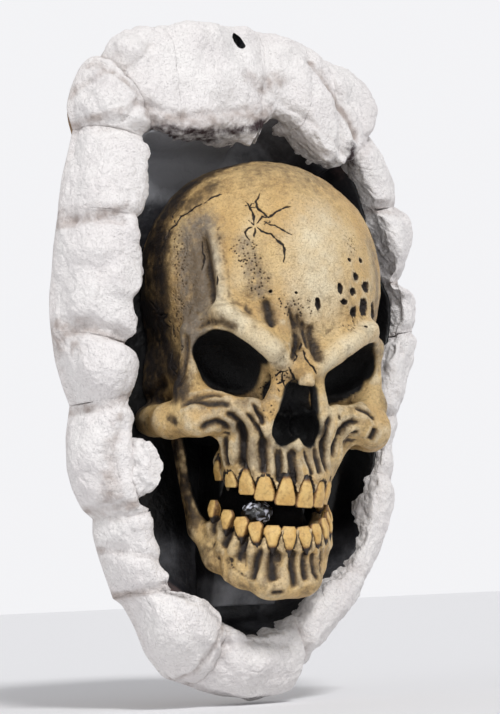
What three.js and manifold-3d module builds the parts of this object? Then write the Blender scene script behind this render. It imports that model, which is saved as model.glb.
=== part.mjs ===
import * as THREE from "three";
import { mergeVertices } from "three/addons/utils/BufferGeometryUtils.js";
import Module from "manifold-3d";

// A wall decoration: a skull that breaks out of a hole in a plastered wall.
// Millimetres, +Z up. The origin is the hanging hole where it meets the wall, and the front looks along -Y.
// The words left and right are the viewer's.

const wasm = await Module();
wasm.setup();

// The ring of broken plaster, seen from the front. It hangs by a hole near its top.
const RING_HALF_WIDTH = 127;
const RING_HALF_HEIGHT = 206;
const RING_CENTRE_X = 6;
const HOLE_BELOW_TOP = 13;
const RING_DROP = RING_HALF_HEIGHT - HOLE_BELOW_TOP;
const RUBBLE_DEPTH = 45;
const JOINT_GAP = 0.4;
const CREASE_INSET_SHARE = 0.08;
const CREASE_DEPTH_SHARE = 0.16;
const CREASE_WIDTH_SHARE = 0.4;
const CREASE_SHOULDER_SHARE = 0.2;

// The panel behind everything, and the hole that it hangs by.
const PANEL_THICKNESS = 5;
const PANEL_INSET = 2.5;
const HOLE_HALF_WIDTH = 4.5;
const HOLE_HALF_HEIGHT = 5.5;
const HOLE_SIDES = 10;
const SEAT_GAP = 0.3;
const OVERRUN = 4;

// The black dish that lines the hole in the wall.
const LINER_FLOOR = 3;
const LINER_WALL = 3.5;
const LINER_CLEARANCE = 1;
const LINER_LIP_DEPTH = 27;
const LINER_FLARE = 5;

// The skull: half its width over the cheek arches, rear face to nose, and crown to chin.
const SKULL_HALF_WIDTH = 80;
const SKULL_DEPTH = 100;
const SKULL_HEIGHT = 250;
const SKULL_WALL = 5;
const FOAM_CLEARANCE = 2;
const JAW_CLEARANCE = 1.2;

// Where the middle of the eye sockets stands, left of and below the middle of the ring and in front
// of the wall, and how the head is turned, nodded and tilted.
const HEAD_LEFT = 8;
const HEAD_LOWERING = 16;
const HEAD_PROJECTION = 77;
const HEAD_SIDE = RING_CENTRE_X - HEAD_LEFT;
const HEAD_DROP = RING_DROP + HEAD_LOWERING;
const HEAD_TURN = THREE.MathUtils.degToRad(-10.5);
const HEAD_NOD = THREE.MathUtils.degToRad(3);
const HEAD_TILT = THREE.MathUtils.degToRad(3.9);
const JAW_TILT = THREE.MathUtils.degToRad(-5);
const JAW_PIVOT_SHARE = 0.38;

// Steps of the grids that the bone surfaces are found on: fine over the face, coarse over the crown.
const FACE_STEP = 5.2;
const CROWN_STEP = 12;
const CAVITY_STEP = 12;
const JAW_STEP = 5.2;

// Teeth stand on two half ellipses. A bite rises towards the cheeks by its rise.
// Half widths and widths are shares of the skull's half width, depth and back of its depth,
// and drops, rises, crowns and roots of its height.
const TOOTH_THICKNESS = 7;
const TOOTH_CLEARANCE = 0.35;
const TOOTH_SIDES = 8;
const UPPER_BITE = {
  name: "upper_tooth",
  archShares: { halfWidth: 0.4, depth: 0.36, back: 0.22, drop: 0.278, rise: 0.036, root: 0.02 },
  crownShares: [0.066, 0.064, 0.058, 0.048, 0.04],
  widthShares: [0.13, 0.125, 0.1175, 0.11, 0.105],
  angles: [10.5, 31, 49, 67, 87].map(THREE.MathUtils.degToRad),
  lean: THREE.MathUtils.degToRad(4),
};
const LOWER_BITE = {
  name: "lower_tooth",
  archShares: { halfWidth: 0.425, depth: 0.395, back: 0.22, drop: 0.382, rise: 0.082, root: 0.02 },
  crownShares: [0.048, 0.048, 0.048, 0.044, 0.038, 0.032],
  widthShares: [0.11, 0.1075, 0.105, 0.1, 0.1, 0.1025],
  angles: [7.8, 22.7, 37.5, 51, 66, 85].map(THREE.MathUtils.degToRad),
  lean: 0,
};
// Along a tooth from its root's end to its tip: place, half width and half thickness.
const toothProfileShares = [
  [0, 0.3, 0.45],
  [0.25, 0.66, 0.75],
  [0.52, 0.98, 1],
  [0.8, 1, 0.85],
  [0.95, 0.9, 0.6],
  [1, 0.7, 0.32],
];

// The black stump of the neck runs from the skull down towards the lower rim of the ring.
const NECK_HALF_WIDTH = 24;
const NECK_LEFT = 2;
const NECK_REACH = 44;
const NECK_BEVEL_SHARE = 0.2;
const NECK_TOP_SHARE = 0.124;
const NECK_BOTTOM_SHARE = 0.728;
// Along the stump from below: place, reach from its rear face and half width.
const neckShares = [
  [0, 0.38, 0.96],
  [0.3, 0.55, 1],
  [0.6, 0.8, 0.96],
  [1, 1, 0.85],
];

const COLOUR = {
  plaster: 0xe9e4e0,
  recess: 0x1d1d20,
  bone: 0xc9a468,
  tooth: 0xcfa75f,
  foam: 0xd9cfb0,
  panel: 0x9b8467,
};

// The lumps of plaster, clockwise from the top left corner. A ruling runs from the rim of the hole
// to the outer edge: inner x and z, outer x and z, as shares of the ring's half width and half height.
const jointShares = {
  cornerLeft: [-0.59, 0.615, -0.85, 0.655],
  cornerTop: [-0.535, 0.636, -0.7, 0.874],
  slabLeft: [-0.44, 0.63, -0.41, 0.985],
  slabRight: [-0.04, 0.636, 0.157, 0.97],
  roughRight: [0.26, 0.684, 0.378, 0.942],
  tiltedRight: [0.472, 0.568, 0.488, 0.913],
  roundLow: [0.583, 0.617, 0.77, 0.709],
  shoulderLow: [0.677, 0.451, 0.905, 0.476],
  blockLow: [0.772, 0.228, 0.945, 0.252],
  knuckleLow: [0.803, 0.073, 1.008, 0.092],
  flankLow: [0.732, -0.18, 0.843, -0.175],
  sliverLow: [0.66, -0.345, 0.835, -0.383],
  spineLow: [0.48, -0.626, 0.63, -0.689],
  slopeLow: [0.134, -0.786, 0.205, -0.927],
  footLeft: [-0.29, -0.772, -0.33, -0.956],
  heelTop: [-0.535, -0.67, -0.717, -0.694],
  facetTop: [-0.66, -0.456, -0.81, -0.466],
  pillowTop: [-0.748, -0.126, -0.913, -0.146],
  wedgeTop: [-0.73, 0.01, -1, 0.058],
  cheekTop: [-0.724, 0.379, -0.945, 0.403],
};
const lumps = [
  {
    name: "plaster_corner_top_left",
    from: "cornerLeft",
    to: "cornerTop",
    heightShare: 0.85,
    rulingShares: [
      [-0.578, 0.622, -0.885, 0.72],
      [-0.567, 0.628, -0.85, 0.79],
      [-0.556, 0.632, -0.8, 0.85],
      [-0.545, 0.635, -0.745, 0.885],
    ],
  },
  {
    name: "plaster_wedge_top",
    from: "cornerTop",
    to: "slabLeft",
    heightShare: 0.8,
    rulingShares: [
      [-0.5, 0.634, -0.62, 0.942],
      [-0.47, 0.632, -0.5, 0.981],
    ],
  },
  {
    name: "plaster_hanging_slab",
    from: "slabLeft",
    to: "slabRight",
    heightShare: 1,
    rulingShares: [
      [-0.33, 0.635, -0.3, 1],
      [-0.22, 0.645, -0.13, 1.005],
      [-0.12, 0.64, 0.05, 1],
    ],
  },
  {
    name: "plaster_rough_top",
    from: "slabRight",
    to: "roughRight",
    heightShare: 0.95,
    rulingShares: [
      [0.03, 0.69, 0.22, 0.965],
      [0.1, 0.718, 0.29, 0.958],
      [0.19, 0.709, 0.34, 0.95],
    ],
  },
  {
    name: "plaster_tilted_slab",
    from: "roughRight",
    to: "tiltedRight",
    heightShare: 1.1,
    rulingShares: [
      [0.32, 0.64, 0.41, 0.935],
      [0.4, 0.587, 0.45, 0.925],
    ],
  },
  {
    name: "plaster_round_top_right",
    from: "tiltedRight",
    to: "roundLow",
    heightShare: 0.95,
    rulingShares: [
      [0.5, 0.575, 0.56, 0.945],
      [0.53, 0.59, 0.68, 0.93],
      [0.55, 0.6, 0.79, 0.885],
      [0.565, 0.61, 0.845, 0.83],
      [0.575, 0.615, 0.815, 0.765],
    ],
  },
  {
    name: "plaster_shoulder_right",
    from: "roundLow",
    to: "shoulderLow",
    heightShare: 0.95,
    rulingShares: [
      [0.615, 0.57, 0.85, 0.65],
      [0.645, 0.515, 0.89, 0.565],
    ],
  },
  {
    name: "plaster_block_right",
    from: "shoulderLow",
    to: "blockLow",
    heightShare: 1,
    rulingShares: [
      [0.7, 0.42, 0.975, 0.462],
      [0.75, 0.33, 1.01, 0.37],
      [0.765, 0.28, 0.985, 0.3],
    ],
  },
  {
    name: "plaster_knuckle_right",
    from: "blockLow",
    to: "knuckleLow",
    heightShare: 0.9,
    rulingShares: [
      [0.815, 0.18, 1.01, 0.2],
      [0.815, 0.13, 1.02, 0.14],
    ],
  },
  {
    name: "plaster_flank_right",
    from: "knuckleLow",
    to: "flankLow",
    heightShare: 0.9,
    rulingShares: [
      [0.77, 0.02, 1, 0.03],
      [0.71, -0.06, 0.97, -0.05],
      [0.695, -0.11, 0.92, -0.12],
    ],
  },
  {
    name: "plaster_sliver_right",
    from: "flankLow",
    to: "sliverLow",
    heightShare: 0.8,
    rulingShares: [[0.695, -0.26, 0.815, -0.26]],
  },
  {
    name: "plaster_spine_right",
    from: "sliverLow",
    to: "spineLow",
    heightShare: 0.8,
    rulingShares: [
      [0.6, -0.48, 0.79, -0.49],
      [0.545, -0.56, 0.735, -0.59],
    ],
  },
  {
    name: "plaster_slope_bottom_right",
    from: "spineLow",
    to: "slopeLow",
    heightShare: 0.85,
    rulingShares: [
      [0.36, -0.68, 0.545, -0.755],
      [0.25, -0.73, 0.41, -0.83],
      [0.19, -0.76, 0.3, -0.88],
    ],
  },
  {
    name: "plaster_foot_bottom",
    from: "slopeLow",
    to: "footLeft",
    heightShare: 0.95,
    rulingShares: [
      [0.07, -0.8, 0.15, -0.985],
      [-0.04, -0.81, 0, -1.005],
      [-0.14, -0.815, -0.14, -0.995],
      [-0.22, -0.8, -0.25, -0.975],
    ],
  },
  {
    name: "plaster_heel_bottom_left",
    from: "footLeft",
    to: "heelTop",
    heightShare: 1,
    rulingShares: [
      [-0.34, -0.74, -0.46, -0.93],
      [-0.39, -0.71, -0.555, -0.86],
      [-0.45, -0.69, -0.61, -0.775],
      [-0.5, -0.675, -0.67, -0.712],
    ],
  },
  {
    name: "plaster_facet_left",
    from: "heelTop",
    to: "facetTop",
    heightShare: 0.75,
    rulingShares: [
      [-0.56, -0.64, -0.755, -0.63],
      [-0.59, -0.58, -0.79, -0.57],
      [-0.64, -0.52, -0.815, -0.51],
    ],
  },
  {
    name: "plaster_pillow_left",
    from: "facetTop",
    to: "pillowTop",
    heightShare: 0.85,
    behindKnob: true,
    rulingShares: [
      [-0.775, -0.435, -0.87, -0.435],
      [-0.8, -0.41, -0.915, -0.38],
      [-0.82, -0.335, -0.94, -0.325],
      [-0.805, -0.25, -0.94, -0.23],
      [-0.765, -0.205, -0.925, -0.185],
    ],
  },
  {
    name: "plaster_knob_left",
    heightShare: 1.1,
    knob: true,
    rulingShares: [
      [-0.735, -0.43, -0.775, -0.434],
      [-0.655, -0.4, -0.8, -0.41],
      [-0.62, -0.34, -0.82, -0.335],
      [-0.665, -0.285, -0.805, -0.25],
      [-0.735, -0.235, -0.79, -0.232],
    ],
  },
  {
    name: "plaster_wedge_left",
    from: "pillowTop",
    to: "wedgeTop",
    heightShare: 0.9,
    rulingShares: [
      [-0.74, -0.08, -0.95, -0.09],
      [-0.725, -0.03, -0.985, -0.02],
    ],
  },
  {
    name: "plaster_cheek_left",
    from: "wedgeTop",
    to: "cheekTop",
    heightShare: 1,
    rulingShares: [
      [-0.7, 0.068, -1.008, 0.1],
      [-0.73, 0.14, -1.005, 0.17],
      [-0.66, 0.215, -0.99, 0.235],
      [-0.7, 0.29, -0.975, 0.31],
    ],
  },
  {
    name: "plaster_shoulder_left",
    from: "cheekTop",
    to: "cornerLeft",
    heightShare: 0.95,
    rulingShares: [
      [-0.64, 0.43, -0.94, 0.44],
      [-0.62, 0.5, -0.92, 0.51],
      [-0.6, 0.56, -0.885, 0.58],
    ],
  },
];
// A lump's section: share of the way from the rim to the outer edge, and of the lump's height.
const lumpSectionShares = [
  [0.04, 0],
  [0, 0.35],
  [0, 0.82],
  [0.04, 0.96],
  [0.15, 1],
  [0.45, 0.97],
  [0.74, 0.79],
  [0.92, 0.5],
  [1, 0.18],
  [0.97, 0],
];

// The skull's bones as balls and rods that melt into each other, one side of the middle only.
// Places are x, forward and up from between the eye sockets, as shares of the skull's half width,
// depth and height. A rod's radii and every blend are shares of the depth.
const skullBoneShares = [
  { at: [0, -0.4, 0.2], radii: [0.89, 0.56, 0.324], blend: 0 },
  { at: [0, -0.64, 0.185], radii: [0.88, 0.58, 0.312], blend: 0.1 },
  { at: [0.35, -0.45, 0.25], radii: [0.56, 0.44, 0.232], blend: 0.1 },
  { at: [0, -0.19, 0.188], radii: [0.73, 0.415, 0.224], blend: 0.1 },
  { at: [0, -0.55, -0.016], radii: [0.84, 0.42, 0.168], blend: 0.12 },
  { at: [0, -0.16, -0.152], radii: [0.42, 0.31, 0.104], blend: 0.1 },
  { at: [0.59, -0.3, 0.016], radii: [0.21, 0.21, 0.112], blend: 0.08 },
  { at: [0.31, -0.04, -0.172], radii: [0.16, 0.14, 0.06], blend: 0.09 },
  { at: [0.09, 0.155, 0.016], to: [0.31, 0.135, 0.064], radius: 0.085, toRadius: 0.09, blend: 0.11 },
  { at: [0.31, 0.135, 0.064], to: [0.55, 0.05, 0.1], radius: 0.09, toRadius: 0.085, blend: 0.11 },
  { at: [0.55, 0.05, 0.1], to: [0.725, -0.09, 0.08], radius: 0.08, toRadius: 0.06, blend: 0.08 },
  { at: [0.74, -0.1, 0.08], to: [0.74, -0.09, -0.064], radius: 0.06, toRadius: 0.065, blend: 0.08 },
  { at: [0.74, -0.09, -0.064], to: [0.7, -0.03, -0.108], radius: 0.065, toRadius: 0.08, blend: 0.08 },
  { at: [0.34, 0.1, -0.082], to: [0.55, 0.045, -0.086], radius: 0.05, toRadius: 0.055, blend: 0.07 },
  { at: [0.55, 0.045, -0.086], to: [0.74, -0.08, -0.056], radius: 0.055, toRadius: 0.06, blend: 0.07 },
  { at: [0.4, 0.08, -0.11], to: [0.7, 0, -0.116], radius: 0.07, toRadius: 0.09, blend: 0.08 },
  { at: [0.7, -0.01, -0.12], to: [0.82, -0.2, -0.124], radius: 0.105, toRadius: 0.096, blend: 0.06 },
  { at: [0.82, -0.2, -0.124], to: [0.76, -0.52, -0.12], radius: 0.096, toRadius: 0.09, blend: 0.06 },
  { at: [0, 0.14, 0.056], to: [0, 0.235, -0.024], radius: 0.07, toRadius: 0.055, blend: 0.06 },
  { at: [0.144, 0.13, -0.016], to: [0.235, 0.105, -0.132], radius: 0.055, toRadius: 0.055, blend: 0.06 },
  { at: [0, 0.07, -0.228], to: [0.19, 0.045, -0.228], radius: 0.095, toRadius: 0.095, blend: 0.07 },
  { at: [0.19, 0.045, -0.228], to: [0.3, -0.07, -0.22], radius: 0.095, toRadius: 0.09, blend: 0.05 },
  { at: [0.3, -0.07, -0.22], to: [0.36, -0.24, -0.212], radius: 0.09, toRadius: 0.085, blend: 0.05 },
  { at: [0.62, -0.02, -0.136], to: [0.475, -0.03, -0.176], radius: 0.055, toRadius: 0.05, blend: 0.06 },
  { at: [0.475, -0.03, -0.176], to: [0.39, -0.09, -0.24], radius: 0.05, toRadius: 0.05, blend: 0.06 },
];
const skullHollowShares = [
  { at: [0.495, 0.08, 0.009], radii: [0.3, 0.3, 0.06], lean: THREE.MathUtils.degToRad(34), blend: 0.03 },
  { at: [0.083, 0.18, -0.118], radii: [0.108, 0.22, 0.04], lean: THREE.MathUtils.degToRad(14), blend: 0.02 },
  { at: [0.035, 0.2, -0.076], radii: [0.085, 0.2, 0.044], lean: THREE.MathUtils.degToRad(12), blend: 0.02 },
  { at: [1.19, -0.22, 0.048], radii: [0.34, 0.24, 0.136], blend: 0.1 },
  { at: [0, -0.28, -0.3], radii: [0.29, 0.32, 0.072], blend: 0.04 },
];
const jawBoneShares = [
  { at: [0, 0.12, -0.482], to: [0.125, 0.1, -0.478], radius: 0.1, toRadius: 0.1, blend: 0 },
  { at: [0.125, 0.1, -0.478], to: [0.26, -0.06, -0.454], radius: 0.1, toRadius: 0.095, blend: 0.06 },
  { at: [0.26, -0.06, -0.454], to: [0.375, -0.22, -0.42], radius: 0.095, toRadius: 0.085, blend: 0.06 },
  { at: [0.375, -0.22, -0.42], to: [0.48, -0.33, -0.36], radius: 0.085, toRadius: 0.065, blend: 0.06 },
  { at: [0.48, -0.33, -0.36], to: [0.56, -0.36, -0.264], radius: 0.065, toRadius: 0.055, blend: 0.06 },
  { at: [0.56, -0.36, -0.264], to: [0.61, -0.36, -0.12], radius: 0.055, toRadius: 0.055, blend: 0.06 },
  { at: [0.475, -0.4, -0.36], to: [0.575, -0.42, -0.152], radius: 0.055, toRadius: 0.05, blend: 0.09 },
  { at: [0, 0.1, -0.414], to: [0.17, 0.07, -0.406], radius: 0.075, toRadius: 0.075, blend: 0.08 },
  { at: [0.17, 0.07, -0.406], to: [0.31, -0.05, -0.388], radius: 0.075, toRadius: 0.07, blend: 0.07 },
  { at: [0.31, -0.05, -0.388], to: [0.4, -0.2, -0.356], radius: 0.07, toRadius: 0.065, blend: 0.07 },
];

// How far the surface grids reach from between the eye sockets, and where the face ends on them.
const gridShares = { side: 1.1, front: 0.42, rear: -0.85, faceRear: -0.15, faceTop: 0.12 };
const skullUpShares = [-0.3, 0.56];
const jawUpShares = [-0.56, -0.05];

// Solids and meshes

function solidOf(geometry) {
  const bare = new THREE.BufferGeometry();
  bare.setAttribute("position", geometry.getAttribute("position"));
  if (geometry.index) bare.setIndex(geometry.index);
  const merged = mergeVertices(bare);
  return new wasm.Manifold(
    new wasm.Mesh({
      numProp: 3,
      vertProperties: new Float32Array(merged.getAttribute("position").array),
      triVerts: new Uint32Array(merged.index.array),
    }),
  );
}

function geometryOf(solid) {
  const mesh = solid.getMesh();
  const geometry = new THREE.BufferGeometry();
  geometry.setAttribute("position", new THREE.BufferAttribute(mesh.vertProperties, mesh.numProp));
  geometry.setIndex(new THREE.BufferAttribute(mesh.triVerts, 1));
  geometry.computeVertexNormals();
  return geometry;
}

// The largest of a solid's separate bodies.
function mainBodyOf(solid) {
  return solid.decompose().reduce((most, body) => (body.volume() > most.volume() ? body : most));
}

function placed(geometry, matrix) {
  return geometry.clone().applyMatrix4(matrix);
}

function namedMesh(name, geometry, color, roughness) {
  const material = new THREE.MeshStandardMaterial({ color, roughness, metalness: 0 });
  const mesh = new THREE.Mesh(geometry, material);
  mesh.name = name;
  return mesh;
}

// A closed skin over a row of rings, all with as many points, and a fan over each end.
function closedStack(rings) {
  const count = rings[0].length;
  const points = rings.flat();
  const faces = [];
  for (let ring = 0; ring + 1 < rings.length; ring++) {
    for (let i = 0; i < count; i++) {
      const next = (i + 1) % count;
      const a = ring * count + i;
      const b = ring * count + next;
      faces.push([a, b, b + count], [a, b + count, a + count]);
    }
  }
  const ends = [
    { ring: rings[0], first: 0, flip: true },
    { ring: rings.at(-1), first: (rings.length - 1) * count, flip: false },
  ];
  for (const end of ends) {
    const middle = new THREE.Vector3();
    end.ring.forEach((point) => middle.addScaledVector(point, 1 / count));
    const hub = points.push(middle) - 1;
    for (let i = 0; i < count; i++) {
      const a = end.first + i;
      const b = end.first + ((i + 1) % count);
      faces.push(end.flip ? [b, a, hub] : [a, b, hub]);
    }
  }
  return facingOut(points, faces);
}

// A geometry from points and triangles, turned round if they wind inwards.
function facingOut(points, faces) {
  const volume = faces.reduce((sum, [a, b, c]) => {
    const normal = new THREE.Vector3().crossVectors(points[b], points[c]);
    return sum + points[a].dot(normal);
  }, 0);
  const indices = faces.flatMap(([a, b, c]) => (volume < 0 ? [a, c, b] : [a, b, c]));
  const geometry = new THREE.BufferGeometry().setFromPoints(points);
  geometry.setIndex(indices);
  geometry.computeVertexNormals();
  return geometry;
}

// Bone surfaces

// About how far a place is outside a ball, rod or rim; less than zero is inside.
function distanceTo(shape, x, y, z) {
  const dx = x - shape.at.x;
  const dy = y - shape.at.y;
  const dz = z - shape.at.z;
  if (shape.to) {
    const along = shape.to.clone().sub(shape.at);
    const dot = dx * along.x + dy * along.y + dz * along.z;
    const t = THREE.MathUtils.clamp(dot / along.lengthSq(), 0, 1);
    const away = Math.hypot(dx - t * along.x, dy - t * along.y, dz - t * along.z);
    return away - THREE.MathUtils.lerp(shape.radius, shape.toRadius, t);
  }
  const cos = Math.cos(shape.lean);
  const sin = Math.sin(shape.lean);
  const u = (cos * dx + sin * dz) / shape.radii.x;
  const v = dy / shape.radii.y;
  const w = (cos * dz - sin * dx) / shape.radii.z;
  const size = Math.hypot(u, v, w);
  const slope = Math.hypot(u / shape.radii.x, v / shape.radii.y, w / shape.radii.z);
  return slope > 0 ? (size * (size - 1)) / slope : -shape.radii.y;
}

// The lesser of two distances, rounded where they meet.
function blended(a, b, blend) {
  const near = blend > 0 ? Math.max(blend - Math.abs(a - b), 0) / blend : 0;
  return Math.min(a, b) - (near * near * blend) / 4;
}

// Reads a table of shares into places and radii in the head's own frame.
function bonesFrom(shares) {
  return shares.map((bone) => ({
    at: headPlace(bone.at),
    to: bone.to && headPlace(bone.to),
    radii: bone.radii && headSize(bone.radii),
    radius: bone.radius * SKULL_DEPTH,
    toRadius: bone.toRadius * SKULL_DEPTH,
    lean: bone.lean ?? 0,
    blend: bone.blend * SKULL_DEPTH,
  }));
}

function headPlace([x, forward, up]) {
  return new THREE.Vector3(x * SKULL_HALF_WIDTH, -forward * SKULL_DEPTH, up * SKULL_HEIGHT);
}

function headSize([x, y, z]) {
  return new THREE.Vector3(x * SKULL_HALF_WIDTH, y * SKULL_DEPTH, z * SKULL_HEIGHT);
}

// A field that is zero on the surface of the joined bones, less their hollows, alike on both sides.
function fieldOf(boneShares, hollowShares) {
  const bones = bonesFrom(boneShares);
  const hollows = bonesFrom(hollowShares);
  return (x, y, z) => {
    const side = Math.abs(x);
    const full = bones.reduce((d, b) => blended(d, distanceTo(b, side, y, z), b.blend), Infinity);
    return hollows.reduce((d, h) => -blended(-d, distanceTo(h, side, y, z), h.blend), full);
  };
}

// Grid places from low to high, a fine step apart inside the fine span and a coarse step outside it.
function gradedAxis(low, high, fine, fineLow, fineHigh, coarse) {
  const places = [fineLow];
  while (places[0] > low) places.unshift(places[0] - coarse);
  while (places.at(-1) < fineHigh) places.push(places.at(-1) + fine);
  while (places.at(-1) < high) places.push(places.at(-1) + coarse);
  return places;
}

// A grid cell: its corners, numbered by their three bits, its edges and its six sides.
function gridCell() {
  const bits = [0, 1, 2].map((axis) => 1 << axis);
  const corners = Array.from({ length: 1 << bits.length }, (_, c) => bits.map((bit) => (c & bit ? 1 : 0)));
  const edges = corners.flatMap((_, a) => bits.filter((bit) => !(a & bit)).map((bit) => [a, a | bit]));
  const sides = bits.flatMap((bit) =>
    [0, bit].map((value) => edges.filter((edge) => edge.every((corner) => (corner & bit) === value))),
  );
  return { corners, edges, sides };
}

const cell = gridCell();
const edgeNumber = (a, b) => cell.edges.findIndex(([start, end]) => start === a && end === b);

// The separate sheets that cross a cell, each as the edges that it crosses. Inside corners that
// touch only across a side belong to separate sheets, which keeps the surface from pinching.
function sheetsIn(inside) {
  const sheetOf = cell.edges.map(([a, b], i) => (inside[a] !== inside[b] ? i : -1));
  const join = (first, second) => {
    const [kept, gone] = [sheetOf[edgeNumber(...first)], sheetOf[edgeNumber(...second)]];
    sheetOf.forEach((sheet, i) => {
      if (sheet === gone) sheetOf[i] = kept;
    });
  };
  for (const side of cell.sides) {
    const crossed = side.filter(([a, b]) => inside[a] !== inside[b]);
    if (crossed.length === 2) join(...crossed);
    if (crossed.length > 2)
      for (const corner of new Set(crossed.flat().filter((c) => inside[c])))
        join(...crossed.filter((edge) => edge.includes(corner)));
  }
  return sheetOf;
}

// The surface where a field is zero, found on a grid: one point for each sheet in each cell,
// and one four-sided face, cut in two triangles, across each grid edge that the surface crosses.
// The grid's border counts as outside.
function surfaceWhereZero(field, [xs, ys, zs]) {
  const size = [xs.length, ys.length, zs.length];
  const [nx, ny, nz] = size;
  const stride = [1, nx, nx * ny];
  const values = new Float64Array(nx * ny * nz);
  const outside = xs[1] - xs[0];
  for (let k = 0; k < nz; k++)
    for (let j = 0; j < ny; j++)
      for (let i = 0; i < nx; i++) {
        const value = field(xs[i], ys[j], zs[k]);
        const border = [i, j, k].some((at, axis) => at === 0 || at === size[axis] - 1);
        values[i + j * nx + k * nx * ny] = border ? Math.max(value, outside) : value;
      }

  const points = [];
  const pointOf = new Map();
  for (let k = 0; k + 1 < nz; k++)
    for (let j = 0; j + 1 < ny; j++)
      for (let i = 0; i + 1 < nx; i++) {
        const first = i + j * nx + k * nx * ny;
        const at = cell.corners.map(([a, b, c]) => values[first + a + b * nx + c * nx * ny]);
        const sheetOf = sheetsIn(at.map((value) => value < 0));
        for (const sheet of new Set(sheetOf.filter((n) => n >= 0))) {
          const crossed = cell.edges.flatMap((_, n) => (sheetOf[n] === sheet ? [n] : []));
          const middle = new THREE.Vector3();
          for (const n of crossed) {
            const [a, b] = cell.edges[n];
            const start = new THREE.Vector3(...cell.corners[a]);
            middle.add(start.lerp(new THREE.Vector3(...cell.corners[b]), at[a] / (at[a] - at[b])));
            pointOf.set(first * cell.edges.length + n, points.length);
          }
          middle.divideScalar(crossed.length);
          points.push(
            new THREE.Vector3(
              THREE.MathUtils.lerp(xs[i], xs[i + 1], middle.x),
              THREE.MathUtils.lerp(ys[j], ys[j + 1], middle.y),
              THREE.MathUtils.lerp(zs[k], zs[k + 1], middle.z),
            ),
          );
        }
      }

  const faces = [];
  for (let k = 0; k + 1 < nz; k++)
    for (let j = 0; j + 1 < ny; j++)
      for (let i = 0; i + 1 < nx; i++) {
        const here = i + j * nx + k * nx * ny;
        for (let axis = 0; axis < 3; axis++) {
          const inside = values[here] < 0;
          if (inside === values[here + stride[axis]] < 0) continue;
          const [side, up] = [(axis + 1) % 3, (axis + 2) % 3];
          const around = [
            [here, 0],
            [here - stride[side], 1 << side],
            [here - stride[side] - stride[up], (1 << side) | (1 << up)],
            [here - stride[up], 1 << up],
          ];
          const quad = around.map(([first, corner]) =>
            pointOf.get(first * cell.edges.length + edgeNumber(corner, corner | (1 << axis))),
          );
          const [a, b, c, d] = inside ? quad : quad.reverse();
          const straight = points[a].distanceTo(points[c]) <= points[b].distanceTo(points[d]);
          faces.push(...(straight ? [[a, b, c], [a, c, d]] : [[a, b, d], [b, c, d]]));
        }
      }
  return facingOut(points, faces);
}

// The three axes of a grid in the head's frame. The fine span takes in the face.
function headGrid(fine, coarse, [lowUp, highUp]) {
  const low = headPlace([-gridShares.side, gridShares.front, lowUp]);
  const high = headPlace([gridShares.side, gridShares.rear, highUp]);
  const face = headPlace([0, gridShares.faceRear, gridShares.faceTop]);
  return [
    gradedAxis(low.x, high.x, fine, low.x, high.x, coarse),
    gradedAxis(low.y, high.y, fine, low.y, face.y, coarse),
    gradedAxis(low.z, high.z, fine, low.z, face.z, coarse),
  ];
}

// Teeth

// A tooth with its root's end up, the middle of its crown at the middle of its own frame.
function toothGeometry({ crown, root, width }, grow) {
  const top = crown / 2 + root + grow;
  const length = crown + root + 2 * grow;
  const toCorner = 1 / Math.cos(Math.PI / TOOTH_SIDES);
  const rings = toothProfileShares.map(([place, wide, thick]) => {
    const z = top - place * length;
    return Array.from({ length: TOOTH_SIDES }, (_, i) => {
      const angle = (2 * Math.PI * (i + 1 / 2)) / TOOTH_SIDES;
      const x = Math.cos(angle) * toCorner * ((wide * width) / 2 + grow);
      const y = Math.sin(angle) * toCorner * ((thick * TOOTH_THICKNESS) / 2 + grow);
      return new THREE.Vector3(x, y, z);
    });
  });
  return closedStack(rings);
}

// Each tooth of a bite: its sizes and its place in the head's frame.
function teethOf(bite, rootDown) {
  const arch = bite.archShares;
  const teeth = [];
  for (const side of [-1, 1]) {
    bite.angles.forEach((angle, i) => {
      const across = side * Math.sin(angle) * arch.halfWidth;
      const forward = arch.depth * Math.cos(angle) - arch.back;
      const place = headPlace([across, forward, arch.rise * (1 - Math.cos(angle)) - arch.drop]);
      place.z -= place.x * Math.tan(bite.lean);
      const slope = (arch.depth * SKULL_DEPTH) / (arch.halfWidth * SKULL_HALF_WIDTH);
      const matrix = new THREE.Matrix4().makeTranslation(place);
      matrix.multiply(new THREE.Matrix4().makeRotationZ(side * Math.atan(slope * Math.tan(angle))));
      if (rootDown) matrix.multiply(new THREE.Matrix4().makeRotationY(Math.PI));
      teeth.push({
        name: `${bite.name}_${side < 0 ? "left" : "right"}_${i + 1}`,
        crown: bite.crownShares[i] * SKULL_HEIGHT,
        root: arch.root * SKULL_HEIGHT,
        width: bite.widthShares[i] * SKULL_HALF_WIDTH,
        matrix,
      });
    });
  }
  return teeth;
}

function withSockets(bone, teeth) {
  return teeth.reduce((solid, tooth) => {
    const socket = placed(toothGeometry(tooth, TOOTH_CLEARANCE), tooth.matrix);
    return solid.subtract(solidOf(socket));
  }, bone);
}

function toothMeshes(teeth) {
  return teeth.map((tooth) => {
    const mesh = namedMesh(tooth.name, toothGeometry(tooth, 0), COLOUR.tooth, 0.45);
    mesh.applyMatrix4(tooth.matrix);
    return mesh;
  });
}

// Plaster

function ringPlace(x, z) {
  return new THREE.Vector2(
    RING_CENTRE_X + x * RING_HALF_WIDTH,
    z * RING_HALF_HEIGHT - RING_DROP,
  );
}

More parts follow.
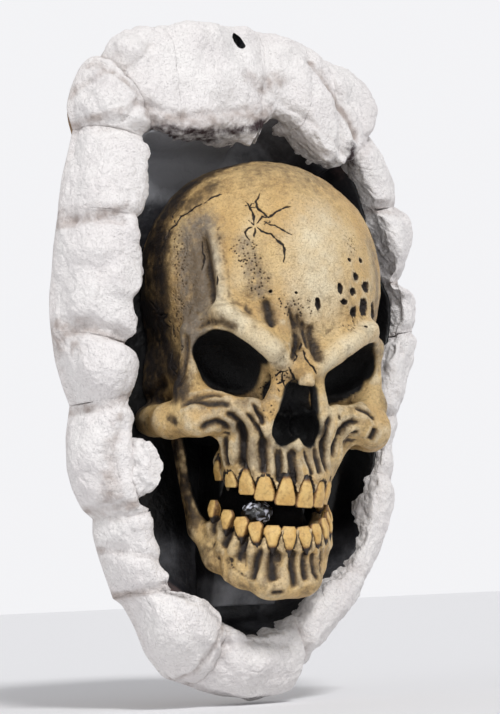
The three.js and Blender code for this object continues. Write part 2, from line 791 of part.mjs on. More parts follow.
// A lump's rulings with the joint gap taken off both ends.
function rulingsOf(lump) {
  const shares = [...lump.rulingShares];
  if (lump.from) shares.unshift(jointShares[lump.from]);
  if (lump.to) shares.push(jointShares[lump.to]);
  const rulings = shares.map(([ix, iz, ox, oz]) => ({ inner: ringPlace(ix, iz), outer: ringPlace(ox, oz) }));
  const ends = [
    [rulings[0], rulings[1]],
    [rulings.at(-1), rulings.at(-2)],
  ];
  for (const [end, next] of ends) {
    const along = end.outer.clone().sub(end.inner);
    const inward = new THREE.Vector2(-along.y, along.x).normalize();
    const towards = next.outer.clone().add(next.inner).sub(end.outer).sub(end.inner);
    inward.multiplyScalar((Math.sign(inward.dot(towards)) * JOINT_GAP) / 2);
    end.inner.add(inward);
    end.outer.add(inward);
  }
  return rulings;
}

// A lump is carried along its rulings and drawn in at both ends, where it meets its neighbours.
function lumpGeometry(lump) {
  const rulings = rulingsOf(lump);
  const rear = PANEL_THICKNESS + SEAT_GAP;
  const first = { ...rulings[0], crease: 1 };
  const last = { ...rulings.at(-1), crease: 1 };
  const shoulder = (end, next) => ({
    inner: end.inner.clone().lerp(next.inner, CREASE_WIDTH_SHARE),
    outer: end.outer.clone().lerp(next.outer, CREASE_WIDTH_SHARE),
    crease: CREASE_SHOULDER_SHARE,
  });
  const between = rulings.slice(1, -1).map((ruling) => ({ ...ruling, crease: 0 }));
  const stations = [
    first,
    shoulder(rulings[0], rulings[1]),
    ...between,
    shoulder(rulings.at(-1), rulings.at(-2)),
    last,
  ];
  const rings = stations.map(({ inner, outer, crease }) => {
    const kept = 1 - JOINT_GAP / inner.distanceTo(outer);
    const height = RUBBLE_DEPTH * lump.heightShare * (1 - CREASE_DEPTH_SHARE * crease);
    return lumpSectionShares.map(([across, up]) => {
      const pulled = THREE.MathUtils.lerp(across, 0.5, CREASE_INSET_SHARE * crease);
      const place = inner.clone().lerp(outer, pulled * kept);
      return new THREE.Vector3(place.x, -rear - up * height, place.y);
    });
  });
  return closedStack(rings);
}

// The prism that cuts the hanging hole.
function hangingHole() {
  const depth = PANEL_THICKNESS + RUBBLE_DEPTH + OVERRUN;
  const rings = [OVERRUN, -depth].map((y) =>
    Array.from({ length: HOLE_SIDES }, (_, i) => {
      const angle = (2 * Math.PI * i) / HOLE_SIDES;
      return new THREE.Vector3(Math.cos(angle) * HOLE_HALF_WIDTH, y, Math.sin(angle) * HOLE_HALF_HEIGHT);
    }),
  );
  return solidOf(closedStack(rings));
}

// An outline drawn in towards the middle of the ring, at one depth.
function drawnIn(outline, inset, y) {
  const middle = ringPlace(0, 0);
  return outline.map((point) => {
    const spoke = point.clone().sub(middle);
    spoke.setLength(spoke.length() - inset).add(middle);
    return new THREE.Vector3(spoke.x, y, spoke.y);
  });
}

function rearPanel() {
  const outline = lumps.filter((l) => !l.knob).flatMap((l) => rulingsOf(l).map((r) => r.outer));
  const plate = closedStack([
    drawnIn(outline, PANEL_INSET, 0),
    drawnIn(outline, PANEL_INSET, -PANEL_THICKNESS),
  ]);
  const cut = solidOf(plate).subtract(hangingHole());
  return namedMesh("rear_panel", geometryOf(cut), COLOUR.panel, 0.9);
}

// The dish stands on the panel, inside the rims of the lumps.
function recessLiner() {
  const outline = lumps.filter((l) => !l.behindKnob).flatMap((l) => rulingsOf(l).map((r) => r.inner));
  const rear = PANEL_THICKNESS + SEAT_GAP;
  const lip = rear + LINER_LIP_DEPTH;
  const inner = LINER_CLEARANCE + LINER_WALL;
  const dish = closedStack([
    drawnIn(outline, LINER_CLEARANCE, -rear),
    drawnIn(outline, LINER_CLEARANCE, -lip),
    drawnIn(outline, inner, -lip),
    drawnIn(outline, inner + LINER_FLARE / 2, -rear - LINER_FLOOR - LINER_FLARE),
    drawnIn(outline, inner + LINER_FLARE, -rear - LINER_FLOOR),
  ]);
  return namedMesh("recess_liner", dish, COLOUR.recess, 0.35);
}

// Depth of the faces that stand on the floor of the dish.
const FLOOR_SEAT = PANEL_THICKNESS + LINER_FLOOR + 2 * SEAT_GAP;

function plasterLump(lump) {
  let geometry = lumpGeometry(lump);
  if (lump.name === "plaster_hanging_slab")
    geometry = geometryOf(solidOf(geometry).subtract(hangingHole()));
  return namedMesh(lump.name, geometry, COLOUR.plaster, 0.85);
}

// Head

function headGroup() {
  const head = new THREE.Group();
  head.position.set(HEAD_SIDE, -HEAD_PROJECTION, -HEAD_DROP);
  head.rotation.set(HEAD_NOD, HEAD_TILT, HEAD_TURN, "ZXY");
  head.updateMatrix();
  return head;
}

// The jaw hangs askew: it is turned about a point between its own rows of teeth.
function jawMatrix() {
  const pivot = new THREE.Matrix4().makeTranslation(headPlace([0, 0, -JAW_PIVOT_SHARE]));
  const tilt = new THREE.Matrix4().makeRotationY(JAW_TILT);
  return pivot.clone().multiply(tilt).multiply(pivot.clone().invert());
}

// Everything in front of the dish's floor, in the head's own frame.
function spaceBeforeFloor(head) {
  const reach = 2 * (SKULL_HEIGHT + SKULL_DEPTH);
  const box = new THREE.BoxGeometry(reach, reach, reach);
  box.translate(0, -FLOOR_SEAT - reach / 2, -HEAD_DROP);
  return solidOf(placed(box, head.matrix.clone().invert()));
}

const head = headGroup();
const beforeFloor = spaceBeforeFloor(head);
const skullField = fieldOf(skullBoneShares, skullHollowShares);

function grownSkull(grow, fine, coarse) {
  const field = (x, y, z) => skullField(x, y, z) - grow;
  return solidOf(surfaceWhereZero(field, headGrid(fine, coarse, skullUpShares)));
}

function skullShell(teeth) {
  const hollow = mainBodyOf(grownSkull(-SKULL_WALL, CAVITY_STEP, CROWN_STEP));
  const shell = grownSkull(0, FACE_STEP, CROWN_STEP).subtract(hollow);
  const cut = withSockets(shell.intersect(beforeFloor), teeth);
  return namedMesh("skull_shell", geometryOf(cut), COLOUR.bone, 0.5);
}

function skullFoam() {
  const grown = grownSkull(-SKULL_WALL - FOAM_CLEARANCE, CAVITY_STEP, CROWN_STEP);
  const core = grown.intersect(beforeFloor);
  return namedMesh("skull_foam_core", geometryOf(mainBodyOf(core)), COLOUR.foam, 0.95);
}

const headClearance = grownSkull(JAW_CLEARANCE, FACE_STEP, CROWN_STEP);

function lowerJaw(matrix, teeth) {
  const field = fieldOf(jawBoneShares, []);
  const bone = surfaceWhereZero(field, headGrid(JAW_STEP, JAW_STEP, jawUpShares));
  const hung = solidOf(placed(bone, matrix)).subtract(headClearance);
  return namedMesh("lower_jaw", geometryOf(withSockets(hung, teeth)), COLOUR.bone, 0.5);
}

function neckStump() {
  const bottom = ringPlace(0, -NECK_BOTTOM_SHARE).y;
  const top = -HEAD_DROP - NECK_TOP_SHARE * SKULL_HEIGHT;
  const rings = neckShares.map(([up, reach, wide]) => {
    const z = THREE.MathUtils.lerp(bottom, top, up);
    const front = -FLOOR_SEAT - reach * NECK_REACH;
    const half = wide * NECK_HALF_WIDTH;
    const bevel = half * NECK_BEVEL_SHARE;
    return [
      [-half, -FLOOR_SEAT],
      [half, -FLOOR_SEAT],
      [half, front + bevel],
      [half - bevel, front],
      [bevel - half, front],
      [-half, front + bevel],
    ].map(([x, y]) => new THREE.Vector3(HEAD_SIDE - NECK_LEFT + x, y, z));
  });
  const skull = solidOf(placed(geometryOf(headClearance), head.matrix));
  return namedMesh("neck_stump", geometryOf(solidOf(closedStack(rings)).subtract(skull)), COLOUR.recess, 0.3);
}

const decoration = new THREE.Group();
decoration.name = "skull_wall_decoration";
decoration.add(rearPanel(), recessLiner(), neckStump());
for (const lump of lumps) decoration.add(plasterLump(lump));

const upperTeeth = teethOf(UPPER_BITE, false);
head.add(skullShell(upperTeeth), skullFoam(), ...toothMeshes(upperTeeth));
const tilt = jawMatrix();
const lowerTeeth = teethOf(LOWER_BITE, true);
lowerTeeth.forEach((tooth) => tooth.matrix.premultiply(tilt));
head.add(lowerJaw(tilt, lowerTeeth), ...toothMeshes(lowerTeeth));
decoration.add(head);

export default decoration;
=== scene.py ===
# %% [markdown]
# # A skull that breaks out of a plastered wall
# The real thing is a wall decoration of cast foam: a ring of broken white plaster, a black hole
# behind it, and a painted skull whose jaw hangs open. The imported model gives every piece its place,
# in metres, with +Z up and the wall at y = 0. This lesson dresses each of its nodes.

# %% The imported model
import bpy
import numpy as np
from math import atan, cos, pi, radians, sin, tan
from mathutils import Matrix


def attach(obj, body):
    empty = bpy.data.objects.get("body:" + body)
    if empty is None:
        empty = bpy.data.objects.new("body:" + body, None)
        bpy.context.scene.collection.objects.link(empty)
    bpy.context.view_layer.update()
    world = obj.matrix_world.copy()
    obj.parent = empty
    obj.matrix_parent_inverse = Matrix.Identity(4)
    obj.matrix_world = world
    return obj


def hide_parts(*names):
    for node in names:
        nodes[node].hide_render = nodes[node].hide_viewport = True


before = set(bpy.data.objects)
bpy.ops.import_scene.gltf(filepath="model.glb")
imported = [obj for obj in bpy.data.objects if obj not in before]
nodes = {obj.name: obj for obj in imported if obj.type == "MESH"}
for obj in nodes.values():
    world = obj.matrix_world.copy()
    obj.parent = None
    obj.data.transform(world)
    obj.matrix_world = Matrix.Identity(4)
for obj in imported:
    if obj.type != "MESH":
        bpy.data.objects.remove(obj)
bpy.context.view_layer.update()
print("CAD nodes:", len(nodes))

# %% [markdown]
# ## The camera
# The photograph was taken from the left and a little below, 1.3 m away, and the decoration hung
# slightly askew. The three axes of the camera come from those angles, and the same axes later turn
# a place in the picture into a ray, so that a crack can be put where the picture shows it.

# %% Camera at the photograph's angle
MM = 0.001
IMAGE_WIDTH, IMAGE_HEIGHT = 500, 714
MM_PER_PIXEL = 0.6
CAMERA_DISTANCE = 1300.0
CAMERA_AIM = np.array([-3.597, -40.0, -195.233])
AZIMUTH, ELEVATION, ROLL = radians(-35), radians(-6), radians(2.4)

back_axis = np.array([
    sin(AZIMUTH) * cos(ELEVATION), -cos(AZIMUTH) * cos(ELEVATION), sin(ELEVATION)])
level_up = np.array([-sin(AZIMUTH) * sin(ELEVATION), cos(AZIMUTH) * sin(ELEVATION), cos(ELEVATION)])
level_right = np.cross(-back_axis, level_up)
right_axis = cos(ROLL) * level_right - sin(ROLL) * level_up
up_axis = sin(ROLL) * level_right + cos(ROLL) * level_up
focal_pixels = CAMERA_DISTANCE / MM_PER_PIXEL
camera_place = CAMERA_AIM + back_axis * CAMERA_DISTANCE

camera = bpy.data.objects.new("camera", bpy.data.cameras.new("camera"))
bpy.context.scene.collection.objects.link(camera)
bpy.context.scene.camera = camera
camera.data.sensor_fit = "VERTICAL"
camera.data.sensor_height = 36.0
camera.data.lens = focal_pixels * camera.data.sensor_height / IMAGE_HEIGHT
columns = np.eye(4)
columns[:3, 0], columns[:3, 1], columns[:3, 2] = right_axis, up_axis, back_axis
columns[:3, 3] = camera_place * MM
camera.matrix_world = columns.T.tolist()
print("camera lens", round(camera.data.lens, 1), "mm")


def pixel_rays(pixels):
    """Unit rays through places in the picture: straight ahead, plus right and up by the offset."""
    pixels = np.asarray(pixels, float)
    across = (pixels[:, :1] - IMAGE_WIDTH / 2) / focal_pixels
    down = (pixels[:, 1:2] - IMAGE_HEIGHT / 2) / focal_pixels
    rays = -back_axis + across * right_axis - down * up_axis
    return rays / np.linalg.norm(rays, axis=1, keepdims=True)


# %% [markdown]
# ## Noise, worked out as whole arrays
# Cast foam and plaster are never smooth. Value noise gives each corner of a lattice a number from a
# whole-number hash and blends between the eight corners around a place. The same place always gets
# the same number, so neighbouring lumps agree where they meet, and every run gives the same result.

# %% Noise in three dimensions
HASH_STEPS = (np.uint32(73856093), np.uint32(19349663), np.uint32(83492791))
HASH_MIXER = np.uint32(1274126177)
SEED_STEP = 668265263
WORD_TOP = 0xFFFFFFFF
HASH_TOP = 0xFFFFFF
# Turns the lattice of the facets, so that no facet lines up with the ring.
FACET_TURN = np.linalg.qr(np.array([[0.8, 0.5, 0.3], [-0.5, 0.7, 0.5], [0.1, -0.6, 0.8]]))[0]


def lattice_hash(corner, seed):
    """A number from 0 to 1 for each whole-number corner: its parts times large primes, mixed."""
    mixed = np.full(corner.shape[0], np.uint32(seed * SEED_STEP & WORD_TOP), np.uint32)
    for part, step in zip(corner.T.astype(np.int64).astype(np.uint32), HASH_STEPS):
        mixed ^= part * step
        mixed = (mixed ^ (mixed >> np.uint32(13))) * HASH_MIXER
    mixed ^= mixed >> np.uint32(16)
    return (mixed & np.uint32(HASH_TOP)) / float(HASH_TOP)


def noise(points, size, seed):
    """Value noise from -1 to 1 with lumps about `size` mm wide; 3u^2 - 2u^3 blends on each axis."""
    scaled = np.asarray(points) / size
    low = np.floor(scaled)
    part = scaled - low
    part = part * part * (3 - 2 * part)
    total = np.zeros(len(scaled))
    for bits in range(8):
        offset = np.array([bits & 1, bits >> 1 & 1, bits >> 2 & 1])
        weight = np.prod(np.where(offset, part, 1 - part), axis=1)
        total += weight * lattice_hash(low + offset, seed)
    return 2 * total - 1


def facets(points, size, seed):
    """Noise that runs straight between its lattice corners. In each of a cube's six tetrahedra the
    sorted parts weight the corners' numbers, so it leaves flat facets with soft creases."""
    scaled = np.asarray(points) @ FACET_TURN / size
    low = np.floor(scaled)
    part = scaled - low
    order = np.argsort(-part, axis=1)
    falling = np.take_along_axis(part, order, 1)
    corner = low.copy()
    total = (1 - falling[:, 0]) * lattice_hash(corner, seed)
    for k in range(3):
        corner[np.arange(len(corner)), order[:, k]] += 1
        lower = falling[:, k + 1] if k < 2 else 0
        total += (falling[:, k] - lower) * lattice_hash(corner, seed)
    return 2 * total - 1


def cells(points, size, seed):
    """Distances to the nearest and second nearest of points scattered one to a lattice cell."""
    scaled = np.asarray(points) / size
    low = np.floor(scaled)
    first = np.full(len(scaled), 9.0)
    second = first.copy()
    for n in range(27):
        corner = low + np.array([n % 3, n // 3 % 3, n // 9]) - 1
        jitter = np.stack([lattice_hash(corner, seed + k) for k in range(3)], 1)
        away = np.linalg.norm(corner + jitter - scaled, axis=1)
        second = np.minimum(second, np.maximum(first, away))
        first = np.minimum(first, away)
    return first * size, second * size


def smooth(low, high, value):
    """0 below low, 1 above high, and 3u^2 - 2u^3 between; low may be the larger."""
    u = np.clip((value - low) / (high - low), 0, 1)
    return u * u * (3 - 2 * u)


def bell(u):
    """1 at 0 and less on both sides: exp(-u^2)."""
    return np.exp(-(u**2))


def layered(points, *rows, kind=noise):
    """Layers of noise added up: the share, size and seed of each."""
    return sum(share * kind(points, size, seed) for share, size, seed in rows)


def noise_shift(points, size, seeds):
    """A shift in three directions, with noise of its own for each."""
    return np.stack([noise(points, size, seed) for seed in seeds], 1)


def crazing(points, shift, size, seed):
    """1 on the lines where noise passes through 0, bent by a shift, and 0 away from them."""
    return smooth(0.16, 0.0, np.abs(noise(points + shift[:, None], size, seed)))


def strongest(*masks):
    """The largest of several masks at each point."""
    return np.maximum.reduce(np.broadcast_arrays(*masks))


# %% [markdown]
# ## Making a mesh from arrays
# Each piece ends as an array of points in millimetres and an array of faces with equal corner
# counts. foreach_set hands whole arrays to Blender. Paint masks travel with the mesh as named
# attributes, which the materials read, and every piece rides on the one body, "root".

# %% From arrays to a piece
def new_piece(name, points, faces, material, replaced, masks=()):
    """A mesh object at the origin that rides on the body and stands for the replaced nodes."""
    faces = np.ascontiguousarray(faces, np.int32)
    mesh = bpy.data.meshes.new(name)
    mesh.vertices.add(len(points))
    mesh.vertices.foreach_set("co", (np.asarray(points) * MM).astype(np.float32).ravel())
    mesh.loops.add(faces.size)
    mesh.loops.foreach_set("vertex_index", faces.ravel())
    mesh.polygons.add(len(faces))
    starts = np.arange(0, faces.size, faces.shape[1], dtype=np.int32)
    mesh.polygons.foreach_set("loop_start", starts)
    mesh.update(calc_edges=True)
    mesh.polygons.foreach_set("use_smooth", np.ones(len(faces), bool))
    mesh.materials.append(material)
    for mask, values in dict(masks).items():
        attribute = mesh.attributes.new(mask, "FLOAT", "POINT")
        attribute.data.foreach_set("value", np.clip(values, 0, 1).astype(np.float32))
    piece = bpy.data.objects.new(name, mesh)
    bpy.context.scene.collection.objects.link(piece)
    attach(piece, "root")
    if replaced:
        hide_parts(*replaced)
    return piece


def tube_faces(rings, around, first=0):
    """Quads between rings of equally many points, each ring closed on itself."""
    ring, at = np.meshgrid(np.arange(rings - 1), np.arange(around), indexing="ij")
    here, after = ring * around + at, ring * around + (at + 1) % around
    quads = np.stack([here, after, after + around, here + around], -1).reshape(-1, 4)
    return quads + first


def split_quads(quads):
    """Two triangles for each quad."""
    return np.concatenate([quads[:, [0, 1, 2]], quads[:, [0, 2, 3]]])


def closed_tube(grid):
    """Points and triangles of a grid (ring, around, xyz), with a fan over each end."""
    rings, around = grid.shape[:2]
    points = np.concatenate([grid.reshape(-1, 3), grid[:1].mean(1), grid[-1:].mean(1)])
    side = split_quads(tube_faces(rings, around))
    at = np.arange(around)
    after = (at + 1) % around
    last = (rings - 1) * around
    start_fan = np.stack([after, at, np.full(around, rings * around)], 1)
    end_fan = np.stack([last + at, last + after, np.full(around, rings * around + 1)], 1)
    return points, facing_out(points, np.concatenate([side, start_fan, end_fan]))


def facing_out(points, triangles):
    """The triangles, turned round if the volume that they enclose comes out negative."""
    a, b, c = (points[triangles[:, k]] for k in range(3))
    return triangles if np.einsum("ij,ij->", a, np.cross(b, c)) > 0 else triangles[:, ::-1]


def grid_normals(grid):
    """Unit normals of a grid of points that is closed in its second direction, by differences."""
    along = np.gradient(grid, axis=0)
    around = np.roll(grid, -1, axis=1) - np.roll(grid, 1, axis=1)
    normals = np.cross(around, along)
    return normals / np.maximum(np.linalg.norm(normals, axis=-1, keepdims=True), 1e-9)


def along_path(rows, step, ease):
    """Rows of numbers along a path, resampled evenly by length and eased over `ease` mm."""
    rows = np.asarray(rows, float)
    middle = (rows[:, :2] + rows[:, -2:]) / 2
    length = np.concatenate([[0], np.cumsum(np.linalg.norm(np.diff(middle, axis=0), axis=1))])
    count = max(int(round(length[-1] / step)), 4) + 1
    places = np.linspace(0, length[-1], count)
    even = np.stack([np.interp(places, length, column) for column in rows.T], 1)
    reach = int(3 * ease / step)
    weights = np.exp(-0.5 * (np.arange(-reach, reach + 1) * step / ease) ** 2)
    weights /= weights.sum()
    longer = np.pad(even, ((reach, reach), (0, 0)), "reflect", reflect_type="odd")
    eased = np.stack([np.convolve(column, weights, "valid") for column in longer.T], 1)
    return eased, places


# %% [markdown]
# ## Shader helpers and shared effects
# A material is a small tree of nodes. Three effects are used by several materials, so each is a
# node group with named inputs: a tint that wanders between two colours, a wash of thin paint that
# breaks up at its edge, and fine relief that gives a normal.

# %% Node groups
FLOAT, COLOUR, VECTOR = "NodeSocketFloat", "NodeSocketColor", "NodeSocketVector"


class Tree:
    """Short calls for adding and linking nodes of one tree."""

    def __init__(self, tree):
        self.tree = tree

    def feed(self, socket, value):
        """Links a value that another node gives, and sets any other."""
        if isinstance(value, bpy.types.NodeSocket):
            self.tree.links.new(value, socket)
        else:
            socket.default_value = value

    def add(self, kind, inputs=(), **settings):
        node = self.tree.nodes.new(kind)
        for key, value in settings.items():
            setattr(node, key, value)
        for key, value in dict(inputs).items():
            self.feed(node.inputs[key], value)
        return node

    def mix(self, mask, first, second):
        inputs = {0: mask, 6: first, 7: second}
        return self.add("ShaderNodeMix", inputs, data_type="RGBA").outputs[2]

    def maths(self, operation, *values, clamp=False):
        inputs = dict(enumerate(values))
        return self.add("ShaderNodeMath", inputs, operation=operation, use_clamp=clamp).outputs[0]

    def object_place(self):
        return self.add("ShaderNodeTexCoord").outputs["Object"]

    def noise(self, scale, detail=4.0, roughness=0.55):
        inputs = {"Vector": self.object_place(), "Scale": scale, "Detail": detail,
                  "Roughness": roughness}
        return self.add("ShaderNodeTexNoise", inputs).outputs[0]

    def ramp(self, value, low, high):
        inputs = {"Value": value, "From Min": low, "From Max": high}
        return self.add("ShaderNodeMapRange", inputs, interpolation_type="SMOOTHSTEP").outputs[0]

    def group(self, name, **inputs):
        return self.add("ShaderNodeGroup", inputs, node_tree=bpy.data.node_groups[name]).outputs[0]

    def mask(self, mask):
        """A paint mask: a number, a name, or name, gain, lift and whether it is held at 0 to 1."""
        if isinstance(mask, float):
            return mask
        name, *change = (mask,) if isinstance(mask, str) else mask
        value = self.add("ShaderNodeAttribute", attribute_name=name).outputs["Fac"]
        return self.maths("MULTIPLY_ADD", value, *change[:2], clamp=change[2]) if change else value


def new_group(name, result, kind, **inputs):
    """An empty node group: its tree helper, the sockets of its inputs and the one of its result."""
    tree = bpy.data.node_groups.new(name, "ShaderNodeTree")
    for socket, socket_kind in inputs.items():
        tree.interface.new_socket(socket, in_out="INPUT", socket_type=socket_kind)
    tree.interface.new_socket(result, in_out="OUTPUT", socket_type=kind)
    helper = Tree(tree)
    given = list(helper.add("NodeGroupInput").outputs)[:len(inputs)]
    return helper, given, helper.add("NodeGroupOutput").inputs[result]


tint, (first, second, scale, sharpness), result = new_group(
    "wandering_tint", "Colour", COLOUR, First=COLOUR, Second=COLOUR, Scale=FLOAT, Sharpness=FLOAT)
half_width = tint.maths("DIVIDE", 0.5, sharpness)
low, high = tint.maths("SUBTRACT", 0.5, half_width), tint.maths("ADD", 0.5, half_width)
tint.feed(result, tint.mix(tint.ramp(tint.noise(scale), low, high), first, second))

wash_and_shade, (under, paint, mask, scale, ragged), result = new_group(
    "broken_wash", "Colour", COLOUR,
    Under=COLOUR, Paint=COLOUR, Mask=FLOAT, Scale=FLOAT, Break=FLOAT)
grain = wash_and_shade.maths("SUBTRACT", wash_and_shade.noise(scale, 5.0, 0.65), 0.5)
cover = wash_and_shade.ramp(wash_and_shade.maths("MULTIPLY_ADD", grain, ragged, mask), 0.04, 0.96)
wash_and_shade.feed(result, wash_and_shade.mix(cover, under, paint))

relief, (scale, depth, pits), result = new_group(
    "fine_relief", "Normal", VECTOR, Scale=FLOAT, Depth=FLOAT, Pits=FLOAT)
spot_inputs = {"Vector": relief.object_place(), "Scale": relief.maths("MULTIPLY", scale, 2.5)}
spots = relief.add("ShaderNodeTexVoronoi", spot_inputs).outputs["Distance"]
sunken_spots = relief.maths("MULTIPLY", relief.ramp(spots, 0.35, 0.05), pits)
height = relief.maths("SUBTRACT", relief.noise(scale, 6.0, 0.6), sunken_spots)
bump = relief.add("ShaderNodeBump", {"Height": height, "Distance": depth, "Strength": 1.0})
relief.feed(result, bump.outputs["Normal"])
print("node groups:", [g.name for g in bpy.data.node_groups])


# %% Colours and materials
def linear(red, green, blue):
    """A colour of 0 to 255 as a screen shows it, as the light that a shader wants."""
    shown = np.array([red, green, blue]) / 255
    light = np.where(shown <= 0.04045, shown / 12.92, ((shown + 0.055) / 1.055) ** 2.4)
    return (*light.tolist(), 1.0)


def new_material(name, roughness, specular):
    """A material with one Principled shader; returns it with its tree helper and shader."""
    material = bpy.data.materials.new(name)
    material.use_nodes = True
    shader = material.node_tree.nodes["Principled BSDF"]
    shader.inputs["Roughness"].default_value = roughness
    shader.inputs["Specular IOR Level"].default_value = specular
    return material, Tree(material.node_tree), shader


def new_finish(name, roughness, specular, tint, washes, relief, black_and_shade=None):
    """A finish. Tint: two colours, scale and sharpness. Each wash over it: paint, mask, scale and
    break. Relief: scale, depth in metres and pits. Black and shade: a mask and the near-black colour
    under it, black paint on the bone and painted deep shade in the recess."""
    material, tree, shader = new_material(name, roughness, specular)
    first, second, scale, sharpness = tint
    colour = tree.group("wandering_tint", First=linear(*first), Second=linear(*second),
                        Scale=scale, Sharpness=sharpness)
    for paint, mask, scale, ragged in washes:
        colour = tree.group("broken_wash", Under=colour, Paint=linear(*paint), Mask=tree.mask(mask),
                            Scale=scale, Break=ragged)
    if black_and_shade:
        colour = tree.mix(tree.mask(black_and_shade[0]), colour, linear(*black_and_shade[1]))
    tree.feed(shader.inputs["Base Color"], colour)
    normal = tree.group("fine_relief", **dict(zip(("Scale", "Depth", "Pits"), relief)))
    tree.feed(shader.inputs["Normal"], normal)
    return material


# %% [markdown]
# ## Seven finishes
# The rubble is matt white paint with pinkish grey in its creases, which is partly painted shade, and
# dark paint with painted shade deep in the hole. The bone is ochre paint with a cream dry brush and
# painted highlight on the high places, a grey wash in the temples with painted shade round the folds,
# and a black-brown wash with painted shade in every hollow and towards the back of the head. The
# teeth are a brighter ochre, with painted shade at the gum and between them. The recess is painted
# with a soft black that has some gloss, a painted sheen and painted deep shade; the mouth is filled
# with a matt near-black, black foam that also stands for the shade in the mouth, and one knob in it
# is glossy black with painted glints. The back is raw tan foam.

# %% The finishes
# The rubble's second layer is stain with painted shade in creases, its third dark paint with painted
# shade deep in the hole.
plaster = new_finish(
    "rubble_plaster", 0.78, 0.3, ((242, 239, 237), (234, 229, 228), 38.0, 1.6),
    [((180, 168, 162), "stain_and_shade", 240.0, 0.8), ((62, 48, 50), "dark_paint_and_shade", 260.0, 1.5)],
    (420.0, 0.0017, 0.25))
# The bone's two darkest wash layers are a dark wash and painted shade in hollows, grooves, folds and
# towards the back of the head.
bone = new_finish(
    "bone_paint", 0.5, 0.35, ((228, 200, 146), (208, 166, 100), 30.0, 1.3),
    [((168, 132, 84), 0.24, 110.0, 1.3), ((236, 221, 188), "dry_brush_and_highlight", 110.0, 0.45),
     ((126, 115, 101), "grey_and_shade", 260.0, 0.9), ((128, 98, 64), 0.12, 820.0, 2.2),
     ((104, 84, 56), ("wash_and_shade", 1.5, 0.0, True), 240.0, 1.2),
     ((36, 29, 26), ("wash_and_shade", 1.5, -0.45, True), 300.0, 1.1)],
    (620.0, 0.0013, 0.5), ("black", (8, 8, 9)))
# The teeth's washes are painted shade at the gum and between the teeth, and brown at the tip.
enamel = new_finish(
    "tooth_paint", 0.42, 0.45, ((228, 194, 126), (206, 163, 92), 120.0, 1.6),
    [((128, 90, 48), ("wash_and_shade", 1.1, 0.2, False), 420.0, 1.6),
     ((34, 26, 22), ("wash_and_shade", 1.6, -0.56, True), 500.0, 0.8)],
    (900.0, 0.0005, 0.2))
# The recess paint's lighter grey layer is a painted sheen and its near-black layer painted deep
# shade; its dust is real.
dark_paint_and_shade = new_finish(
    "recess_paint", 0.42, 0.38, ((26, 26, 29), (38, 38, 42), 30.0, 1.5),
    [((92, 76, 74), "dust", 300.0, 1.2), ((136, 137, 141), "painted_sheen", 60.0, 0.8)],
    (260.0, 0.0008, 0.0), ("deep_shade", (6, 6, 7)))
# The mouth's matt near-black is black foam, and painted shade for the dark inside of the mouth.
mouth_black_and_shade = new_finish("mouth_black", 0.8, 0.08, ((7, 7, 8), (14, 12, 12), 90.0, 1.6), [],
                 (420.0, 0.0012, 0.3))
# The knob's bright flecks are painted glints.
gloss = new_finish("glossy_black", 0.16, 0.6, ((10, 10, 12), (10, 10, 12), 60.0, 1.0),
                   [((196, 198, 210), "painted_glints", 900.0, 0.8)], (600.0, 0.0006, 0.0))
raw_foam = new_finish("raw_foam", 0.85, 0.25, ((158, 132, 102), (132, 108, 84), 55.0, 1.8), [],
                      (420.0, 0.0009, 0.6))
print("materials:", [m.name for m in bpy.data.materials])

# %% [markdown]
# ## The ring of broken plaster
# Twenty lumps and a knob were modelled by hand in the real mould. Each is a section carried along
# the ring: a ruling runs from the rim of the hole to the outer edge, and the section climbs from
# the rim, over a shoulder and down to the wall. The places are shares of the ring's half width and
# half height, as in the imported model. A lump shares its first and last ruling with its neighbours.

# %% Rulings of the ring
RING_HALF = np.array([127.0, 206.0])
RING_MIDDLE = np.array([6.0, -193.0])
RUBBLE_DEPTH = 45.0
LUMP_REAR = 5.3

JOINTS = dict(
    corner_left=(-0.59, 0.615, -0.85, 0.655), corner_top=(-0.535, 0.636, -0.7, 0.874),
    slab_left=(-0.44, 0.63, -0.41, 0.987), slab_right=(-0.04, 0.636, 0.157, 1.01),
    rough_right=(0.26, 0.684, 0.378, 0.978), tilted_right=(0.472, 0.568, 0.488, 0.958),
    round_low=(0.583, 0.617, 0.77, 0.709), shoulder_low=(0.677, 0.451, 0.905, 0.476),
    block_low=(0.772, 0.228, 0.945, 0.252), knuckle_low=(0.803, 0.073, 1.008, 0.092),
    flank_low=(0.732, -0.18, 0.843, -0.175), sliver_low=(0.66, -0.345, 0.835, -0.383),
    spine_low=(0.48, -0.626, 0.63, -0.689), slope_low=(0.134, -0.786, 0.205, -0.927),
    foot_left=(-0.29, -0.772, -0.33, -0.956), heel_top=(-0.535, -0.67, -0.717, -0.694),
    facet_top=(-0.66, -0.456, -0.81, -0.466), pillow_top=(-0.748, -0.126, -0.913, -0.146),
    wedge_top=(-0.73, 0.01, -1, 0.058), cheek_top=(-0.724, 0.379, -0.945, 0.403),
)
